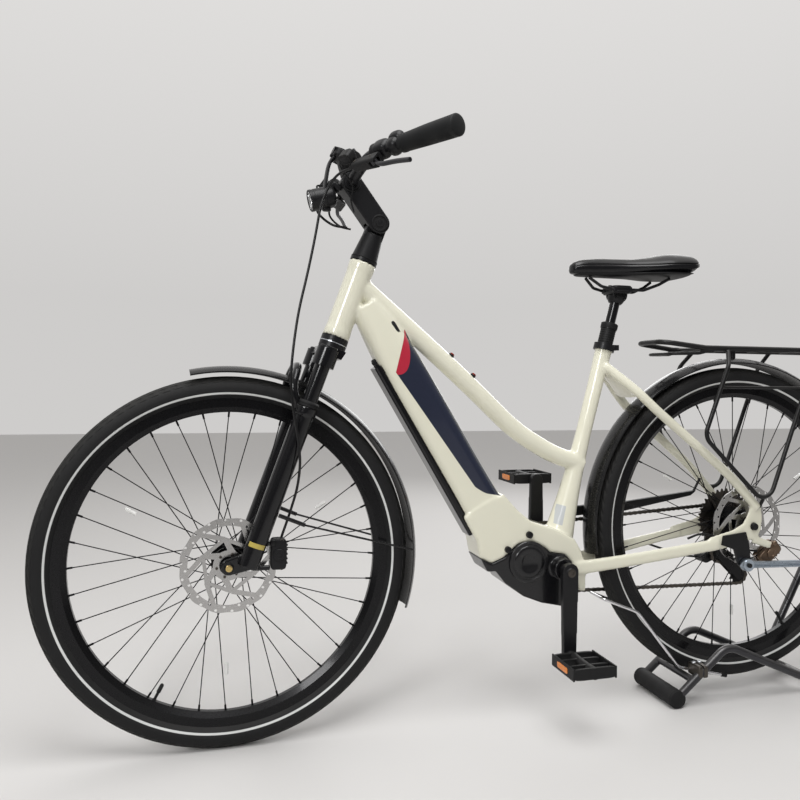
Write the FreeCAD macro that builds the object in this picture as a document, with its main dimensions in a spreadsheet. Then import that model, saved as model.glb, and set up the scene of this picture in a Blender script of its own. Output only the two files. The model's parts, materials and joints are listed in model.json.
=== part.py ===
import FreeCAD, Part
import Sketcher
import math
import os
import re

# A step-through touring e-bicycle on a rear-wheel display stand.
# X runs rearwards, the bicycle's left side is -Y, Z is up. Points are written as
# (distance behind the front axle, distance right of the middle, height above the floor).

SIZES = {
    # wheels
    "tyre_radius": 356, "tyre_width": 47, "tyre_wall": 3.2,
    "rim_radius": 315, "rim_inner_radius": 287, "rim_width": 25, "rim_wall": 2,
    "spoke_count": 36, "spoke_radius": 1, "nipple_radius": 2, "flange_radius": 29,
    "rotor_radius": 90, "rotor_band": 16, "rotor_thickness": 1.8,
    "wheelbase": 1143.4, "rear_lift": 33.3,
    "front_hub_width": 100, "rear_hub_width": 135, "axle_radius": 5,
    # clearances
    "gap": 0.3, "fit": 0.05,
    # steering and fork
    "head_angle": 70.2, "fork_offset": 46, "crown_race": 455, "cup_height": 24.4,
    "head_tube_length": 162, "head_tube_radius": 27.5, "head_bore": 22, "steerer_radius": 14.3,
    "leg_spacing": 130, "leg_setback": 14, "stanchion_radius": 15, "lower_radius": 19,
    "lower_top": 329.5, "fender_radius": 376, "fender_width": 58,
    # stem and handlebar
    "pivot_height": 725, "pivot_radius": 21, "stem_length": 96.4, "stem_rise": 53.3,
    "stem_width": 50, "bar_radius": 11.1, "bar_half_width": 328, "grip_length": 128,
    "grip_radius": 17.5, "lamp_radius": 22, "lamp_length": 46,
    # frame
    "top_tube_radius": 19.5, "down_tube_width": 74, "seat_tube_radius": 19, "frame_wall": 2.5,
    "seat_tube_angle": 75.4, "seat_tube_top": 490.5, "bracket_width": 80,
    "chainstay_height": 28, "chainstay_width": 15, "seatstay_radius": 10.5,
    "stay_spacing": 142, "dropout_thickness": 7, "battery_width": 58, "battery_depth": 60,
    "boss_pitch": 64, "boss_radius": 6, "boss_bore": 2.1,
    # drive
    "bottom_bracket_x": 685.5, "bottom_bracket_z": 315.2, "motor_width": 80,
    "crank_length": 170, "crank_inset": 76, "crank_thickness": 14, "spindle_radius": 12,
    "chain_pitch": 12.7, "chain_line": 52, "chain_width": 5.6, "chain_height": 8,
    "ring_teeth": 38, "driven_teeth": 15, "pulley_teeth": 11, "cog_pitch": 4.35,
    "pedal_length": 96, "pedal_width": 94, "pedal_height": 26, "pedal_axle_radius": 5,
    # seat
    "post_radius": 15.45, "post_projection": 49, "post_insertion": 150,
    "plunger_radius": 11, "saddle_width": 164, "rail_radius": 3.5,
    "rail_spacing": 44,
    # rack and rear fender
    "rear_fender_radius": 378, "rack_tube": 6, "rack_half_width": 62, "rack_height": 787,
    "rack_rear": 1395, "rack_leg_y": 82, "rack_leg_tube": 5,
    # kickstand
    "kick_radius": 8, "kick_length": 292,
    # stand
    "stand_tube": 9, "stand_half_width": 66, "sleeve_radius": 20, "sleeve_half_length": 75,
    "foot_x": 954, "stand_bend_x": 1083, "stand_bend_z": 125, "rear_foot_x": 1353,
    "hoop_lean": 61.5, "hoop_height": 520, "cradle_tube": 8, "wire_radius": 3.2,
}

FORWARD = FreeCAD.Vector(-1, 0, 0)
REARWARD = FreeCAD.Vector(1, 0, 0)
RIGHT = FreeCAD.Vector(0, 1, 0)
UP = FreeCAD.Vector(0, 0, 1)
SIDES = (-1, 1)

doc = FreeCAD.newDocument("bicycle_on_stand")
sheet = doc.addObject("Spreadsheet::Sheet", "Sizes")
for row_number, (alias, size) in enumerate(SIZES.items(), start=1):
    sheet.set(f"A{row_number}", alias)
    sheet.set(f"B{row_number}", str(size))
    sheet.setAlias(f"B{row_number}", alias)
doc.recompute()
nodes = []


# ---- reading the sheet -------------------------------------------------------------

def cell(alias):
    return float(sheet.get(alias))


def bind(text):
    """An expression over the sheet, written with bare aliases."""
    return re.sub(r"[a-z_]+", lambda word: "Sizes." + word[0] if word[0] in SIZES else word[0], text)


def value(text):
    return float(sheet.evalExpression(bind(text)))


def pitch_radius(teeth):
    return cell("chain_pitch") / (2 * math.sin(math.pi / teeth))


# ---- places ------------------------------------------------------------------------

hoop_slope = 1 / math.tan(math.radians(cell("hoop_lean")))
hoop_foot_x = 1290.6
hoop_foot_z = 36.5
hoop_top_x = hoop_foot_x + (cell("hoop_height") - hoop_foot_z) * hoop_slope
middle_x = (hoop_top_x + cell("stand_tube") - cell("tyre_radius")) / 2


def site(x, y, z):
    """A point from its distance behind the front axle, to the right, and above the floor."""
    return FreeCAD.Vector(x - middle_x, y, z)


front_axle = site(0, 0, cell("tyre_radius"))
rear_axle = site(cell("wheelbase"), 0, cell("tyre_radius") + cell("rear_lift"))
bottom_bracket = site(cell("bottom_bracket_x"), 0, cell("bottom_bracket_z"))
steer_tilt = math.radians(cell("head_angle"))
steer_up = FreeCAD.Vector(math.cos(steer_tilt), 0, math.sin(steer_tilt))
steer_back = FreeCAD.Vector(math.sin(steer_tilt), 0, -math.cos(steer_tilt))
seat_tilt = math.radians(cell("seat_tube_angle"))
seat_up = FreeCAD.Vector(math.cos(seat_tilt), 0, math.sin(seat_tilt))
seat_back = FreeCAD.Vector(math.sin(seat_tilt), 0, -math.cos(seat_tilt))


def on_steerer(height, ahead=0, y=0):
    """A point at a height along the steering axis, counted from the front axle."""
    return front_axle + steer_up * height + steer_back * (cell("fork_offset") - ahead) + RIGHT * y


def on_seat_tube(height, behind=0, y=0):
    return bottom_bracket + seat_up * height + seat_back * behind + RIGHT * y


# ---- building blocks ---------------------------------------------------------------

def keep(label, item):
    item.Label = label
    nodes.append(item)
    return item


def solid_node(label, shape):
    item = doc.addObject("Part::Feature", label)
    item.Shape = shape
    return keep(label, item)


def piece(label):
    """The shape of a node that is already built."""
    return next(node.Shape for node in nodes if node.Label == label)


def joined(shapes):
    first, *rest = shapes
    return first.fuse(rest).removeSplitter() if rest else first


def group(shapes):
    return Part.makeCompound(shapes)


def rod(start, end, radius):
    return Part.makeCylinder(radius, (end - start).Length, start, end - start)


def cross_rod(centre, radius, half_length):
    return rod(centre - RIGHT * half_length, centre + RIGHT * half_length, radius)


def turning(direction):
    return FreeCAD.Rotation(RIGHT, direction)


def sketch(body, role, name):
    drawing = body.newObject("Sketcher::SketchObject", name)
    plane = next(item for item in body.Origin.OriginFeatures if item.Role == role)
    drawing.AttachmentSupport = [(plane, "")]
    drawing.MapMode = "FlatFace"
    return drawing


def outline(body, role, name, corners):
    """A closed polygon whose every corner is bound to the sheet."""
    drawing = sketch(body, role, name)
    spots = [FreeCAD.Vector(value(x), value(y), 0) for x, y in corners]
    for here, there in zip(spots, spots[1:] + spots[:1]):
        drawing.addGeometry(Part.LineSegment(here, there), False)
    for edge in range(len(spots)):
        following = (edge + 1) % len(spots)
        drawing.addConstraint(Sketcher.Constraint("Coincident", edge, 2, following, 1))
    for edge, (spot, texts) in enumerate(zip(spots, corners)):
        for letter, size, text, axis in (("X", spot.x, texts[0], -2), ("Y", spot.y, texts[1], -1)):
            if size == 0:
                drawing.addConstraint(Sketcher.Constraint("PointOnObject", edge, 1, axis))
                continue
            rule = Sketcher.Constraint("Distance" + letter, -1, 1, edge, 1, size)
            number = drawing.addConstraint(rule)
            drawing.renameConstraint(number, f"{letter}{edge}")
            drawing.setExpression(f"Constraints.{letter}{edge}", bind(text))
    return drawing


def turned(name, corners, centre, direction=RIGHT):
    """A body of revolution: corners are (place along the axis, radius)."""
    body = doc.addObject("PartDesign::Body", name)
    profile = outline(body, "YZ_Plane", name + "_profile", corners)
    spin = body.newObject("PartDesign::Revolution", name + "_turn")
    spin.Profile = profile
    spin.ReferenceAxis = (profile, ["H_Axis"])
    spin.Angle = 360
    body.Placement = FreeCAD.Placement(centre, turning(direction))
    doc.recompute()
    return body


def cylinder(name, radius, start, end):
    """A Part cylinder between two points, its radius bound to the sheet."""
    item = doc.addObject("Part::Cylinder", name)
    item.setExpression("Radius", bind(radius))
    item.Height = (end - start).Length
    item.Placement = FreeCAD.Placement(start, FreeCAD.Rotation(UP, end - start))
    doc.recompute()
    return item


def cut_object(name, base, tool):
    item = doc.addObject("Part::Cut", name)
    item.Base = base
    item.Tool = tool
    doc.recompute()
    return item


def route(points, bend=None):
    """Straight runs joined by tangent arcs, as large as the runs allow unless bend is given."""
    edges = []
    start = points[0]
    for before, corner, after in zip(points, points[1:], points[2:]):
        into = (corner - before).normalize()
        out = (after - corner).normalize()
        half_turn = into.getAngle(out) / 2
        if half_turn < 1e-4:
            continue
        shorter = min((corner - before).Length, (after - corner).Length)
        setback = 0.45 * shorter
        if bend:
            setback = min(setback, bend * math.tan(half_turn))
        radius = setback / math.tan(half_turn)
        inward = (out - into).normalize()
        middle = corner + inward * (radius / math.cos(half_turn) - radius)
        edges.append(Part.LineSegment(start, corner - into * setback).toShape())
        edges.append(Part.Arc(corner - into * setback, middle, corner + out * setback).toShape())
        start = corner + out * setback
    edges.append(Part.LineSegment(start, points[-1]).toShape())
    return Part.Wire(edges)


def tube(points, radius, bend=None):
    """A round bar bent along a route."""
    spine = route(points, bend)
    section = Part.Wire(Part.makeCircle(radius, points[0], points[1] - points[0]))
    return spine.makePipeShell([section], True, False)


def rounded(centre, across, along, width, height, corner):
    """A closed rounded rectangle: across and along are its unit directions."""
    spots = []
    for side_x, side_z in ((1, 1), (-1, 1), (-1, -1), (1, -1)):
        middle = centre + across * side_x * (width / 2 - corner) + along * side_z * (height / 2 - corner)
        reach_x = across * side_x * corner
        reach_z = along * side_z * corner
        first, last = (reach_x, reach_z) if side_x == side_z else (reach_z, reach_x)
        bisector = (first + last).normalize() * corner
        spots.append((middle + first, middle + bisector, middle + last))
    edges = []
    for number, (start, through, end) in enumerate(spots):
        edges.append(Part.Arc(start, through, end).toShape())
        edges.append(Part.LineSegment(end, spots[(number + 1) % 4][0]).toShape())
    return Part.Wire(edges)


def loft(wires, ruled=False):
    return Part.makeLoft(wires, True, ruled)


def block(low, high):
    size = high - low
    return Part.makeBox(size.x, size.y, size.z, low)


def oval(centre, across, upward, half_width, half_height):
    """An ellipse wire in the plane of two unit directions."""
    curve = Part.Ellipse(centre + across * half_width, centre + upward * half_height, centre)
    if half_height > half_width:
        curve = Part.Ellipse(centre + upward * half_height, centre + across * half_width, centre)
    return Part.Wire(curve.toShape())


def slab(spots, y_low, y_high):
    """A plate between two Y values whose outline is given in the XZ plane."""
    ring = [FreeCAD.Vector(spot.x, y_low, spot.z) for spot in spots]
    face = Part.Face(Part.makePolygon(ring + ring[:1]))
    return face.extrude(RIGHT * (y_high - y_low))


def arm(start, end, start_radius, end_radius, y_low, y_high):
    """A crank-like plate: two round ends joined by their common tangents."""
    span = end - start
    lean = math.asin((start_radius - end_radius) / span.Length)
    along = FreeCAD.Vector(span.x, 0, span.z).normalize()
    across = FreeCAD.Vector(-along.z, 0, along.x)
    spots = []
    for side in SIDES:
        normal = along * math.sin(lean) + across * side * math.cos(lean)
        spots.append((start + normal * start_radius, end + normal * end_radius))
    web = slab([spots[0][0], spots[0][1], spots[1][1], spots[1][0]], y_low, y_high)
    ends = [rod(FreeCAD.Vector(spot.x, y_low, spot.z), FreeCAD.Vector(spot.x, y_high, spot.z), radius)
            for spot, radius in ((start, start_radius), (end, end_radius))]
    return joined([web] + ends)


# ---- wheels ------------------------------------------------------------------------

def tyre(label, axle):
    """A tyre casing: an open ring of rubber whose edges sit on the rim."""
    standing = FreeCAD.Placement(axle, FreeCAD.Rotation(UP, RIGHT))
    casing = doc.addObject("Part::Torus", label + "_outside")
    hollow = doc.addObject("Part::Torus", label + "_hollow")
    for ring, section in ((casing, "tyre_width / 2"), (hollow, "tyre_width / 2 - tyre_wall")):
        ring.setExpression("Radius1", bind("tyre_radius - tyre_width / 2"))
        ring.setExpression("Radius2", bind(section))
        ring.Placement = standing
    half = RIGHT * cell("tyre_width")
    rim_bed = cylinder(label + "_rim_bed", "rim_radius + gap", axle - half, axle + half)
    opened = cut_object(label + "_opened", casing, hollow)
    keep(label, cut_object(label, opened, rim_bed))


def rim(label, axle):
    """A single-wall channel rim, drilled on its middle line for every spoke."""
    edge = "rim_width / 2"
    inside = "rim_width / 2 - rim_wall"
    shoulder = "rim_inner_radius + 10"
    bed = "rim_inner_radius + rim_wall"
    body = turned(label, [
        ("-" + edge, "rim_radius"), ("-(" + inside + ")", "rim_radius"),
        ("-(" + inside + ")", shoulder + " + rim_wall / 2"), ("-4", bed), ("4", bed),
        (inside, shoulder + " + rim_wall / 2"), (inside, "rim_radius"), (edge, "rim_radius"),
        (edge, shoulder), ("5", "rim_inner_radius"), ("-5", "rim_inner_radius"), ("-" + edge, shoulder),
    ], axle)
    drilling = sketch(body, "XY_Plane", label + "_spoke_hole")
    drilling.addGeometry(Part.Circle(FreeCAD.Vector(), UP, 3), False)
    drilling.addConstraint(Sketcher.Constraint("Coincident", 0, 3, -1, 1))
    drilling.addConstraint(Sketcher.Constraint("Radius", 0, 3))
    drilling.setExpression("Constraints[1]", bind("nipple_radius + 1"))
    hole = body.newObject("PartDesign::Pocket", label + "_drill")
    hole.Profile = drilling
    hole.setExpression("Length", bind("rim_radius"))
    hole.Reversed = True
    doc.recompute()
    pattern = body.newObject("PartDesign::PolarPattern", label + "_drilling")
    pattern.Originals = [hole]
    pattern.Axis = (next(item for item in body.Origin.OriginFeatures if item.Role == "Y_Axis"), [""])
    pattern.Angle = 360
    pattern.setExpression("Occurrences", bind("spoke_count"))
    body.Tip = pattern
    doc.recompute()
    keep(label, body)


def spokes(label, axle, left_flange, right_flange):
    """Crossed spokes, each with the nipple that holds it in the rim."""
    count = int(cell("spoke_count"))
    step = 2 * math.pi / count
    crossing = 6 * step
    made = []
    for number in range(count):
        flange = (left_flange, right_flange)[number % 2]
        lead = 1 if number // 2 % 2 else -1
        rim_angle = number * step
        hub_angle = rim_angle + lead * crossing
        reach = cell("flange_radius")
        place = flange + lead * 2.6
        root = axle + FreeCAD.Vector(math.sin(hub_angle) * reach, place, math.cos(hub_angle) * reach)
        outer = cell("rim_inner_radius") + 4
        head = axle + FreeCAD.Vector(math.sin(rim_angle) * outer, 0, math.cos(rim_angle) * outer)
        along = (head - root).normalize()
        wire = rod(root, head, cell("spoke_radius"))
        nipple = rod(head - along * 14, head, cell("nipple_radius"))
        made.append(joined([wire, nipple]))
    solid_node(label, group(made))


def hub(label, axle, width, left_flange, right_flange, rotor_at, driver):
    """A hub shell with two spoke flanges, a seat for the rotor and, behind, a driver for the cogs."""
    end = f"{width} / 2 - gap"
    bore = "axle_radius + fit"
    disc = "flange_radius + 2"
    left, right, seat = str(left_flange), str(right_flange), str(rotor_at)
    corners = [(f"-({end})", bore), (end, bore), (end, "9")]
    if driver:
        corners += [(f"{right} + 45", "9"), (f"{right} + 45", "17"), (f"{right} + 1.2", "17")]
    else:
        corners += [(f"{right} + 1.2", "13")]
    corners += [
        (f"{right} + 1.2", disc), (f"{right} - 1.2", disc), (f"{right} - 1.2", "16"),
        (f"{left} + 1.2", "16"), (f"{left} + 1.2", disc), (f"{left} - 1.2", disc),
        (f"{left} - 1.2", "22"), (f"{seat} + rotor_thickness / 2", "22"),
        (f"{seat} + rotor_thickness / 2", "16.9"), (f"{seat} - 3", "16.9"), (f"{seat} - 3", "9"),
        (f"-({end})", "9"),
    ]
    keep(label, turned(label, corners, axle))


def rotor(label, axle, place):
    """A brake rotor: a friction band on six slanting arms."""
    thick = cell("rotor_thickness")
    outer = cell("rotor_radius")
    inner = outer - cell("rotor_band")
    centre = axle + RIGHT * place
    band = cross_rod(centre, outer, thick / 2).cut(cross_rod(centre, inner, thick))
    carrier = cross_rod(centre, 29, thick / 2)
    arms = []
    for number in range(6):
        angle = number * math.pi / 3
        root = axle + FreeCAD.Vector(math.sin(angle), 0, math.cos(angle)) * 26
        lean = angle + math.radians(38)
        tip = axle + FreeCAD.Vector(math.sin(lean), 0, math.cos(lean)) * (inner + 2)
        arms.append(arm(root, tip, 6, 4, place - thick / 2, place + thick / 2))
    disc = joined([band, carrier] + arms)
    solid_node(label, disc.cut(cross_rod(centre, 17, thick)))


# ---- fork --------------------------------------------------------------------------

def leg_point(height, side, ahead=0):
    return on_steerer(height, cell("leg_setback") + ahead, side * cell("leg_spacing") / 2)


def fork_upper():
    """Steerer, crown and stanchions: everything above the fork's sliding part."""
    race = cell("crown_race")
    pieces = [rod(on_steerer(race - 15), on_steerer(race + 245), cell("steerer_radius"))]
    pieces.append(rod(on_steerer(race - 4), on_steerer(race), 24))
    half = cell("leg_spacing") / 2
    bridge = [on_steerer(race - 19, 30), on_steerer(race - 2, 26), on_steerer(race - 2, -20),
              on_steerer(race - 19, -16)]
    pieces.append(slab(bridge, -half, half))
    for side in SIDES:
        pieces.append(rod(leg_point(race - 43, side), leg_point(race - 8, side), 22))
        pieces.append(rod(leg_point(race - 275, side), leg_point(race - 15, side),
                          cell("stanchion_radius")))
    solid_node("fork_upper", joined(pieces))


def fork_lowers():
    """The sliding fork legs with their axle ends and the brace in front of the tyre."""
    top = cell("lower_top")
    legs = []
    bores = []
    for side in SIDES:
        legs.append(rod(leg_point(12, side), leg_point(top, side), cell("lower_radius")))
        legs.append(rod(leg_point(top - 16, side), leg_point(top, side), cell("lower_radius") + 2))
        inner = side * cell("front_hub_width") / 2
        low, high = sorted((inner, inner + side * 9))
        legs.append(arm(leg_point(22, side), front_axle, 17, 15, low, high))
        bores.append(rod(leg_point(110, side), leg_point(top + 40, side),
                         cell("stanchion_radius") + cell("fit")))
    peak = cell("fender_radius") + 22
    brace = [leg_point(top - 20, -1, 4), leg_point(top + 24, -1, 40), on_steerer(peak, 54, -44),
             on_steerer(peak, 54, 44), leg_point(top + 24, 1, 40), leg_point(top - 20, 1, 4)]
    legs.append(tube(brace, 8))
    for height in (352, 398):
        post = site(44, -57, height)
        legs.append(rod(post, post + REARWARD * 31.7, 5))
    shell = joined(legs)
    for bore in bores:
        shell = shell.cut(bore)
    solid_node("fork_lowers", shell.cut(cross_rod(front_axle, cell("axle_radius"), 80)))


def through_axle(label, axle, half_grip):
    """An axle with a cap at each end, outside the two dropouts."""
    grip, cap = str(half_grip), str(half_grip + 7)
    keep(label, turned(label, [
        ("-" + cap, "0"), ("-" + cap, "7"), ("-" + grip, "9"), ("-" + grip, "axle_radius"),
        (grip, "axle_radius"), (grip, "9"), (cap, "7"), (cap, "0"),
    ], axle))


def fender(axle, radius, start, end):
    """A domed mudguard strip bent round a wheel, between two angles counted back from the top."""
    turn = math.radians(start)
    outward = FreeCAD.Vector(math.sin(turn), 0, math.cos(turn))
    half = cell("fender_width") / 2
    rims = []
    for skin in (0, 2.4):
        ends = [axle + outward * (radius - 10 - skin) + RIGHT * side * half for side in SIDES]
        crown = axle + outward * (radius - skin)
        rims.append((ends, Part.Arc(ends[0], crown, ends[1]).toShape()))
    (outer_ends, outer), (inner_ends, inner) = rims
    edges = [outer, Part.LineSegment(outer_ends[1], inner_ends[1]).toShape(), inner,
             Part.LineSegment(inner_ends[0], outer_ends[0]).toShape()]
    face = Part.Face(Part.Wire(Part.__sortEdges__(edges)))
    return face.revolve(axle, RIGHT, end - start)


def front_fender():
    """The front mudguard, its bracket under the brace and its two wire stays."""
    strip = fender(front_axle, cell("fender_radius"), -11.6, 107)
    top = on_steerer(cell("fender_radius") + 5, 54)
    parts = [joined([strip, Part.makeSphere(9, top)])]
    for side in SIDES:
        root = leg_point(120, side, -cell("lower_radius") - 2)
        elbow = site(140, side * 62, 430)
        tip = site(362, side * (cell("fender_width") / 2 + 1.2), 366)
        parts.append(joined([rod(root, elbow, 4), rod(elbow, tip, 2)]))
    solid_node("front_fender", group(parts))


def caliper(label, centre, outward, inner_y, outer_y, rotor_y):
    """A brake caliper straddling a rotor, open towards the axle."""
    along = FreeCAD.Vector(-outward.z, 0, outward.x)
    corners = [centre + along * a * 30 + outward * b * 16 for a, b in ((1, 1), (1, -1), (-1, -1), (-1, 1))]
    housing = slab(corners, outer_y, inner_y)
    slot_half = cell("rotor_thickness") / 2 + 0.6
    mouth = [centre + along * a * 31 + outward * b for a, b in ((1, 8), (1, -17), (-1, -17), (-1, 8))]
    return solid_node(label, housing.cut(slab(mouth, rotor_y - slot_half, rotor_y + slot_half)))


# ---- stem, handlebar and what it carries -------------------------------------------

stem_pivot = on_steerer(cell("pivot_height"))
stem_lean = math.radians(cell("stem_rise"))
bar_centre = stem_pivot + FreeCAD.Vector(-math.cos(stem_lean), 0, math.sin(stem_lean)) * cell("stem_length")


def stem_base():
    """The stem's lower half: a tapered collar on the steerer with the pivot lug on top."""
    foot = cell("crown_race") + cell("cup_height") + cell("head_tube_length") + 6 + cell("gap")
    collar = Part.makeCone(27, 20.5, cell("pivot_height") - 22 - foot, on_steerer(foot), steer_up)
    lug = cross_rod(stem_pivot, cell("pivot_radius") - 1, 11.7)
    reach = cell("pivot_radius") - 1
    height = cell("pivot_height")
    neck = slab([on_steerer(height, reach), on_steerer(height, -reach),
                 on_steerer(height - 30, -reach), on_steerer(height - 30, reach)], -11.7, 11.7)
    pin = cross_rod(stem_pivot, 6, cell("stem_width") / 2 + 2)
    whole = joined([collar, lug, neck, pin])
    steerer = rod(on_steerer(foot - 1), on_steerer(cell("crown_race") + 245), cell("steerer_radius"))
    solid_node("stem_base", whole.cut(steerer))


def stem_arm():
    """The stem's upper half: two cheeks on the pivot and a clamp round the handlebar."""
    half = cell("stem_width") / 2
    beam = arm(stem_pivot, bar_centre, cell("pivot_radius"), 21, -half, half)
    slot = cross_rod(stem_pivot, cell("pivot_radius") + 4, 12)
    pin = cross_rod(stem_pivot, 6 + cell("fit"), half + 1)
    clamp = cross_rod(bar_centre, 15.9, half + 1)
    solid_node("stem_arm", beam.cut(slot).cut(pin).cut(clamp))


def hand_frame(side):
    """Where a hand holds the bar: a point inboard of the grip and three unit directions."""
    outer = site(347, side * cell("bar_half_width"), 1129)
    inner = site(252, side * 160, 1124)
    outward = (outer - inner).normalize()
    below = FreeCAD.Vector(-0.68, 0, -0.73)
    below = (below - outward * below.dot(outward)).normalize()
    return inner, outward, below, outward.cross(below)


def handlebar():
    """A swept-back bar, thicker where the stem clamps it."""
    inner, outward, below, across = hand_frame(1)
    outer = inner + outward * ((cell("bar_half_width") - 160) / outward.y)
    half_route = [bar_centre + RIGHT * 28, bar_centre + RIGHT * 62 + UP * 4, inner - outward * 20, outer]
    right = tube(half_route, cell("bar_radius"))
    left = right.mirror(FreeCAD.Vector(), RIGHT)
    middle = cross_rod(bar_centre, 15.9, 30)
    solid_node("handlebar", joined([middle, left, right]))


def grips():
    """Two grips, swelling slightly outwards, each closed at its end."""
    made = []
    for side in SIDES:
        inner, outward, below, across = hand_frame(side)
        end = inner + outward * ((cell("bar_half_width") - 160) / abs(outward.y))
        start = end - outward * cell("grip_length")
        body = Part.makeCone(cell("grip_radius") - 1, cell("grip_radius") + 1.5,
                             cell("grip_length"), start, outward)
        cap = rod(end, end + outward * 4, cell("grip_radius") - 1)
        bore = rod(start - outward, end, cell("bar_radius"))
        made.append(joined([body, cap]).cut(bore))
    solid_node("grips", group(made))


def in_hand(side, along, below, across):
    """A point near one hand, from its place along, below and across the bar."""
    inner, e_along, e_below, e_across = hand_frame(side)
    return inner + e_along * along + e_below * below + e_across * across


def brake_levers():
    """The lever that turns on each side of the bar; returns the bodies that hold them."""
    bodies = []
    for side in SIDES:
        inner, outward, below, across = hand_frame(side)
        ring = rod(in_hand(side, -8, 0, 0), in_hand(side, 8, 0, 0), cell("bar_radius") + 5)
        body = rounded(in_hand(side, -42, 27, 0), below, across, 20, 20, 6)
        near = rounded(in_hand(side, 22, 30, 0), below, across, 26, 22, 6)
        housing = joined([ring, loft([body, near], True)])
        pivot = in_hand(side, 14, 34, 0)
        fork = slab_between(pivot, outward, below, across, 30, 14, 10.6)
        housing = housing.cut(fork)
        pin = rod(pivot - across * 10, pivot + across * 10, 2.5)
        bodies.append(joined([housing.cut(piece("handlebar")), pin]))
        eye = rod(pivot - across * 5, pivot + across * 5, 7)
        blade = tube([pivot, in_hand(side, 40, 50, 0), in_hand(side, 84, 56, 0),
                      in_hand(side, 124, 66, 0)], 4.5)
        lever = joined([eye, blade]).cut(rod(pivot - across * 6, pivot + across * 6, 2.5 + cell("fit")))
        solid_node("brake_lever_" + ("left" if side < 0 else "right"), lever)
    return bodies


def slab_between(centre, along, below, across, length, depth, width):
    """A box by its centre and three unit directions: the room for a lever's eye."""
    start = centre - along * 8 - across * (width / 2)
    near = start - below * 9
    far = start + below * depth
    tip = along * length
    face = Part.Face(Part.makePolygon([near, far, far + tip, near + tip, near]))
    return face.extrude(across * width)


def bar_controls():
    """The brake lever bodies, the shifter on the right of the bar and the ride control on the left."""
    made = brake_levers()
    for side, size in ((1, 17), (-1, 14)):
        inner, outward, below, across = hand_frame(side)
        centre = in_hand(side, -66, 0, 0)
        ring = rod(centre - outward * 7, centre + outward * 7, cell("bar_radius") + 4)
        pod = rounded(centre + across * side * 14, outward, across, 2 * size, 22, 7)
        pod = Part.Face(pod).extrude(below * (size + 6))
        made.append(joined([ring, pod]).cut(piece("handlebar")))
    solid_node("bar_controls", group(made))


def display():
    """The ride display on its bracket above the stem clamp."""
    front, rear = site(199, 0, 1160), site(240, 0, 1142)
    along = (rear - front).normalize()
    normal = FreeCAD.Vector(-along.z, 0, along.x)
    middle = (front + rear) * 0.5
    face = Part.Face(rounded(middle - normal * 7, along, RIGHT, 50, 62, 10))
    screen = face.extrude(normal * 14)
    foot = [middle - normal * 7 - along * 12, middle - normal * 7 + along * 12,
            bar_centre + REARWARD * 12 + UP * 12, bar_centre + FORWARD * 14 + UP * 10]
    bracket = slab(foot, -14, 14)
    clamp = cross_rod(bar_centre, 21.5, 26)
    solid_node("display", joined([screen, bracket]).cut(clamp))


def headlamp():
    """A round headlamp on an arm that comes forward from the stem clamp."""
    face_centre = site(150.6, 0, 1062)
    tilt = math.radians(15)
    backward = FreeCAD.Vector(math.cos(tilt), 0, math.sin(tilt))
    length = cell("lamp_length")
    shell = rod(face_centre, face_centre + backward * length, cell("lamp_radius"))
    tail = Part.makeCone(cell("lamp_radius"), 13, 8, face_centre + backward * length, backward)
    holder = arm(face_centre + backward * (length - 8) + UP * 12, bar_centre, 8, 8, -7, 7)
    clamp = cross_rod(bar_centre, 21.5, 26)
    solid_node("headlamp", joined([shell, tail, holder]).cut(clamp))


def front_brake_hose():
    """The hose from the left lever, round in front of the stem and down to the caliper."""
    start = in_hand(-1, -43, 27, 0)
    points = [start, site(186, -78, 1096), site(163, -69, 1044), site(152, -70, 975),
              site(138, -70, 905), site(122, -76, 838), site(112, -86, 775), site(106, -93, 715),
              site(110, -94, 660), site(120, -93, 606), site(127, -89, 555),
              site(124, -75, 505), site(112, -55, 453), site(98, -43, 406)]
    solid_node("front_brake_hose", tube(points, 2.5))
    print_radii("front_brake_hose", points)


def print_radii(name, points):
    found = []
    for before, corner, after in zip(points, points[1:], points[2:]):
        half_turn = (corner - before).getAngle(after - corner) / 2
        shorter = min((corner - before).Length, (after - corner).Length)
        found.append(0.45 * shorter / math.tan(half_turn))
    print(name, "bend radii:", " ".join(f"{radius:.0f}" for radius in found))


# ---- frame -------------------------------------------------------------------------

frame_tube_top = site(265, 0, 861)
frame_tube_end = site(544.5, 0, 399)
down_along = (frame_tube_end - frame_tube_top).normalize()
down_normal = FreeCAD.Vector(-down_along.z, 0, down_along.x)


def on_down_tube(share, above=0):
    """A point along the down tube's middle, by its share of the length."""
    length = (frame_tube_end - frame_tube_top).Length
    return frame_tube_top + down_along * (share * length) + down_normal * above


def head_tube():
    keep("head_tube", turned("head_tube", [
        ("0", "head_bore"), ("head_tube_length", "head_bore"),
        ("head_tube_length", "head_tube_radius"), ("head_tube_length - 14", "head_tube_radius"),
        ("head_tube_length - 22", "head_tube_radius - 1.2"), ("22", "head_tube_radius - 1.2"),
        ("14", "head_tube_radius"), ("0", "head_tube_radius"),
    ], on_steerer(cell("crown_race") + cell("cup_height")), steer_up))


def headset_cups():
    """The bearing cups under and over the head tube: the steerer runs in them."""
    rings = []
    under = cell("crown_race") + cell("gap")
    above = cell("crown_race") + cell("cup_height") + cell("head_tube_length")
    for low, high in ((under, cell("crown_race") + cell("cup_height")), (above, above + 6)):
        ring = rod(on_steerer(low), on_steerer(high), cell("head_tube_radius"))
        rings.append(ring.cut(rod(on_steerer(low - 1), on_steerer(high + 1),
                                  cell("steerer_radius") + cell("fit"))))
    solid_node("headset_cups", group(rings))


def head_tube_envelope():
    low = cell("crown_race") + cell("cup_height")
    return rod(on_steerer(low), on_steerer(low + cell("head_tube_length")), cell("head_tube_radius"))


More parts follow.
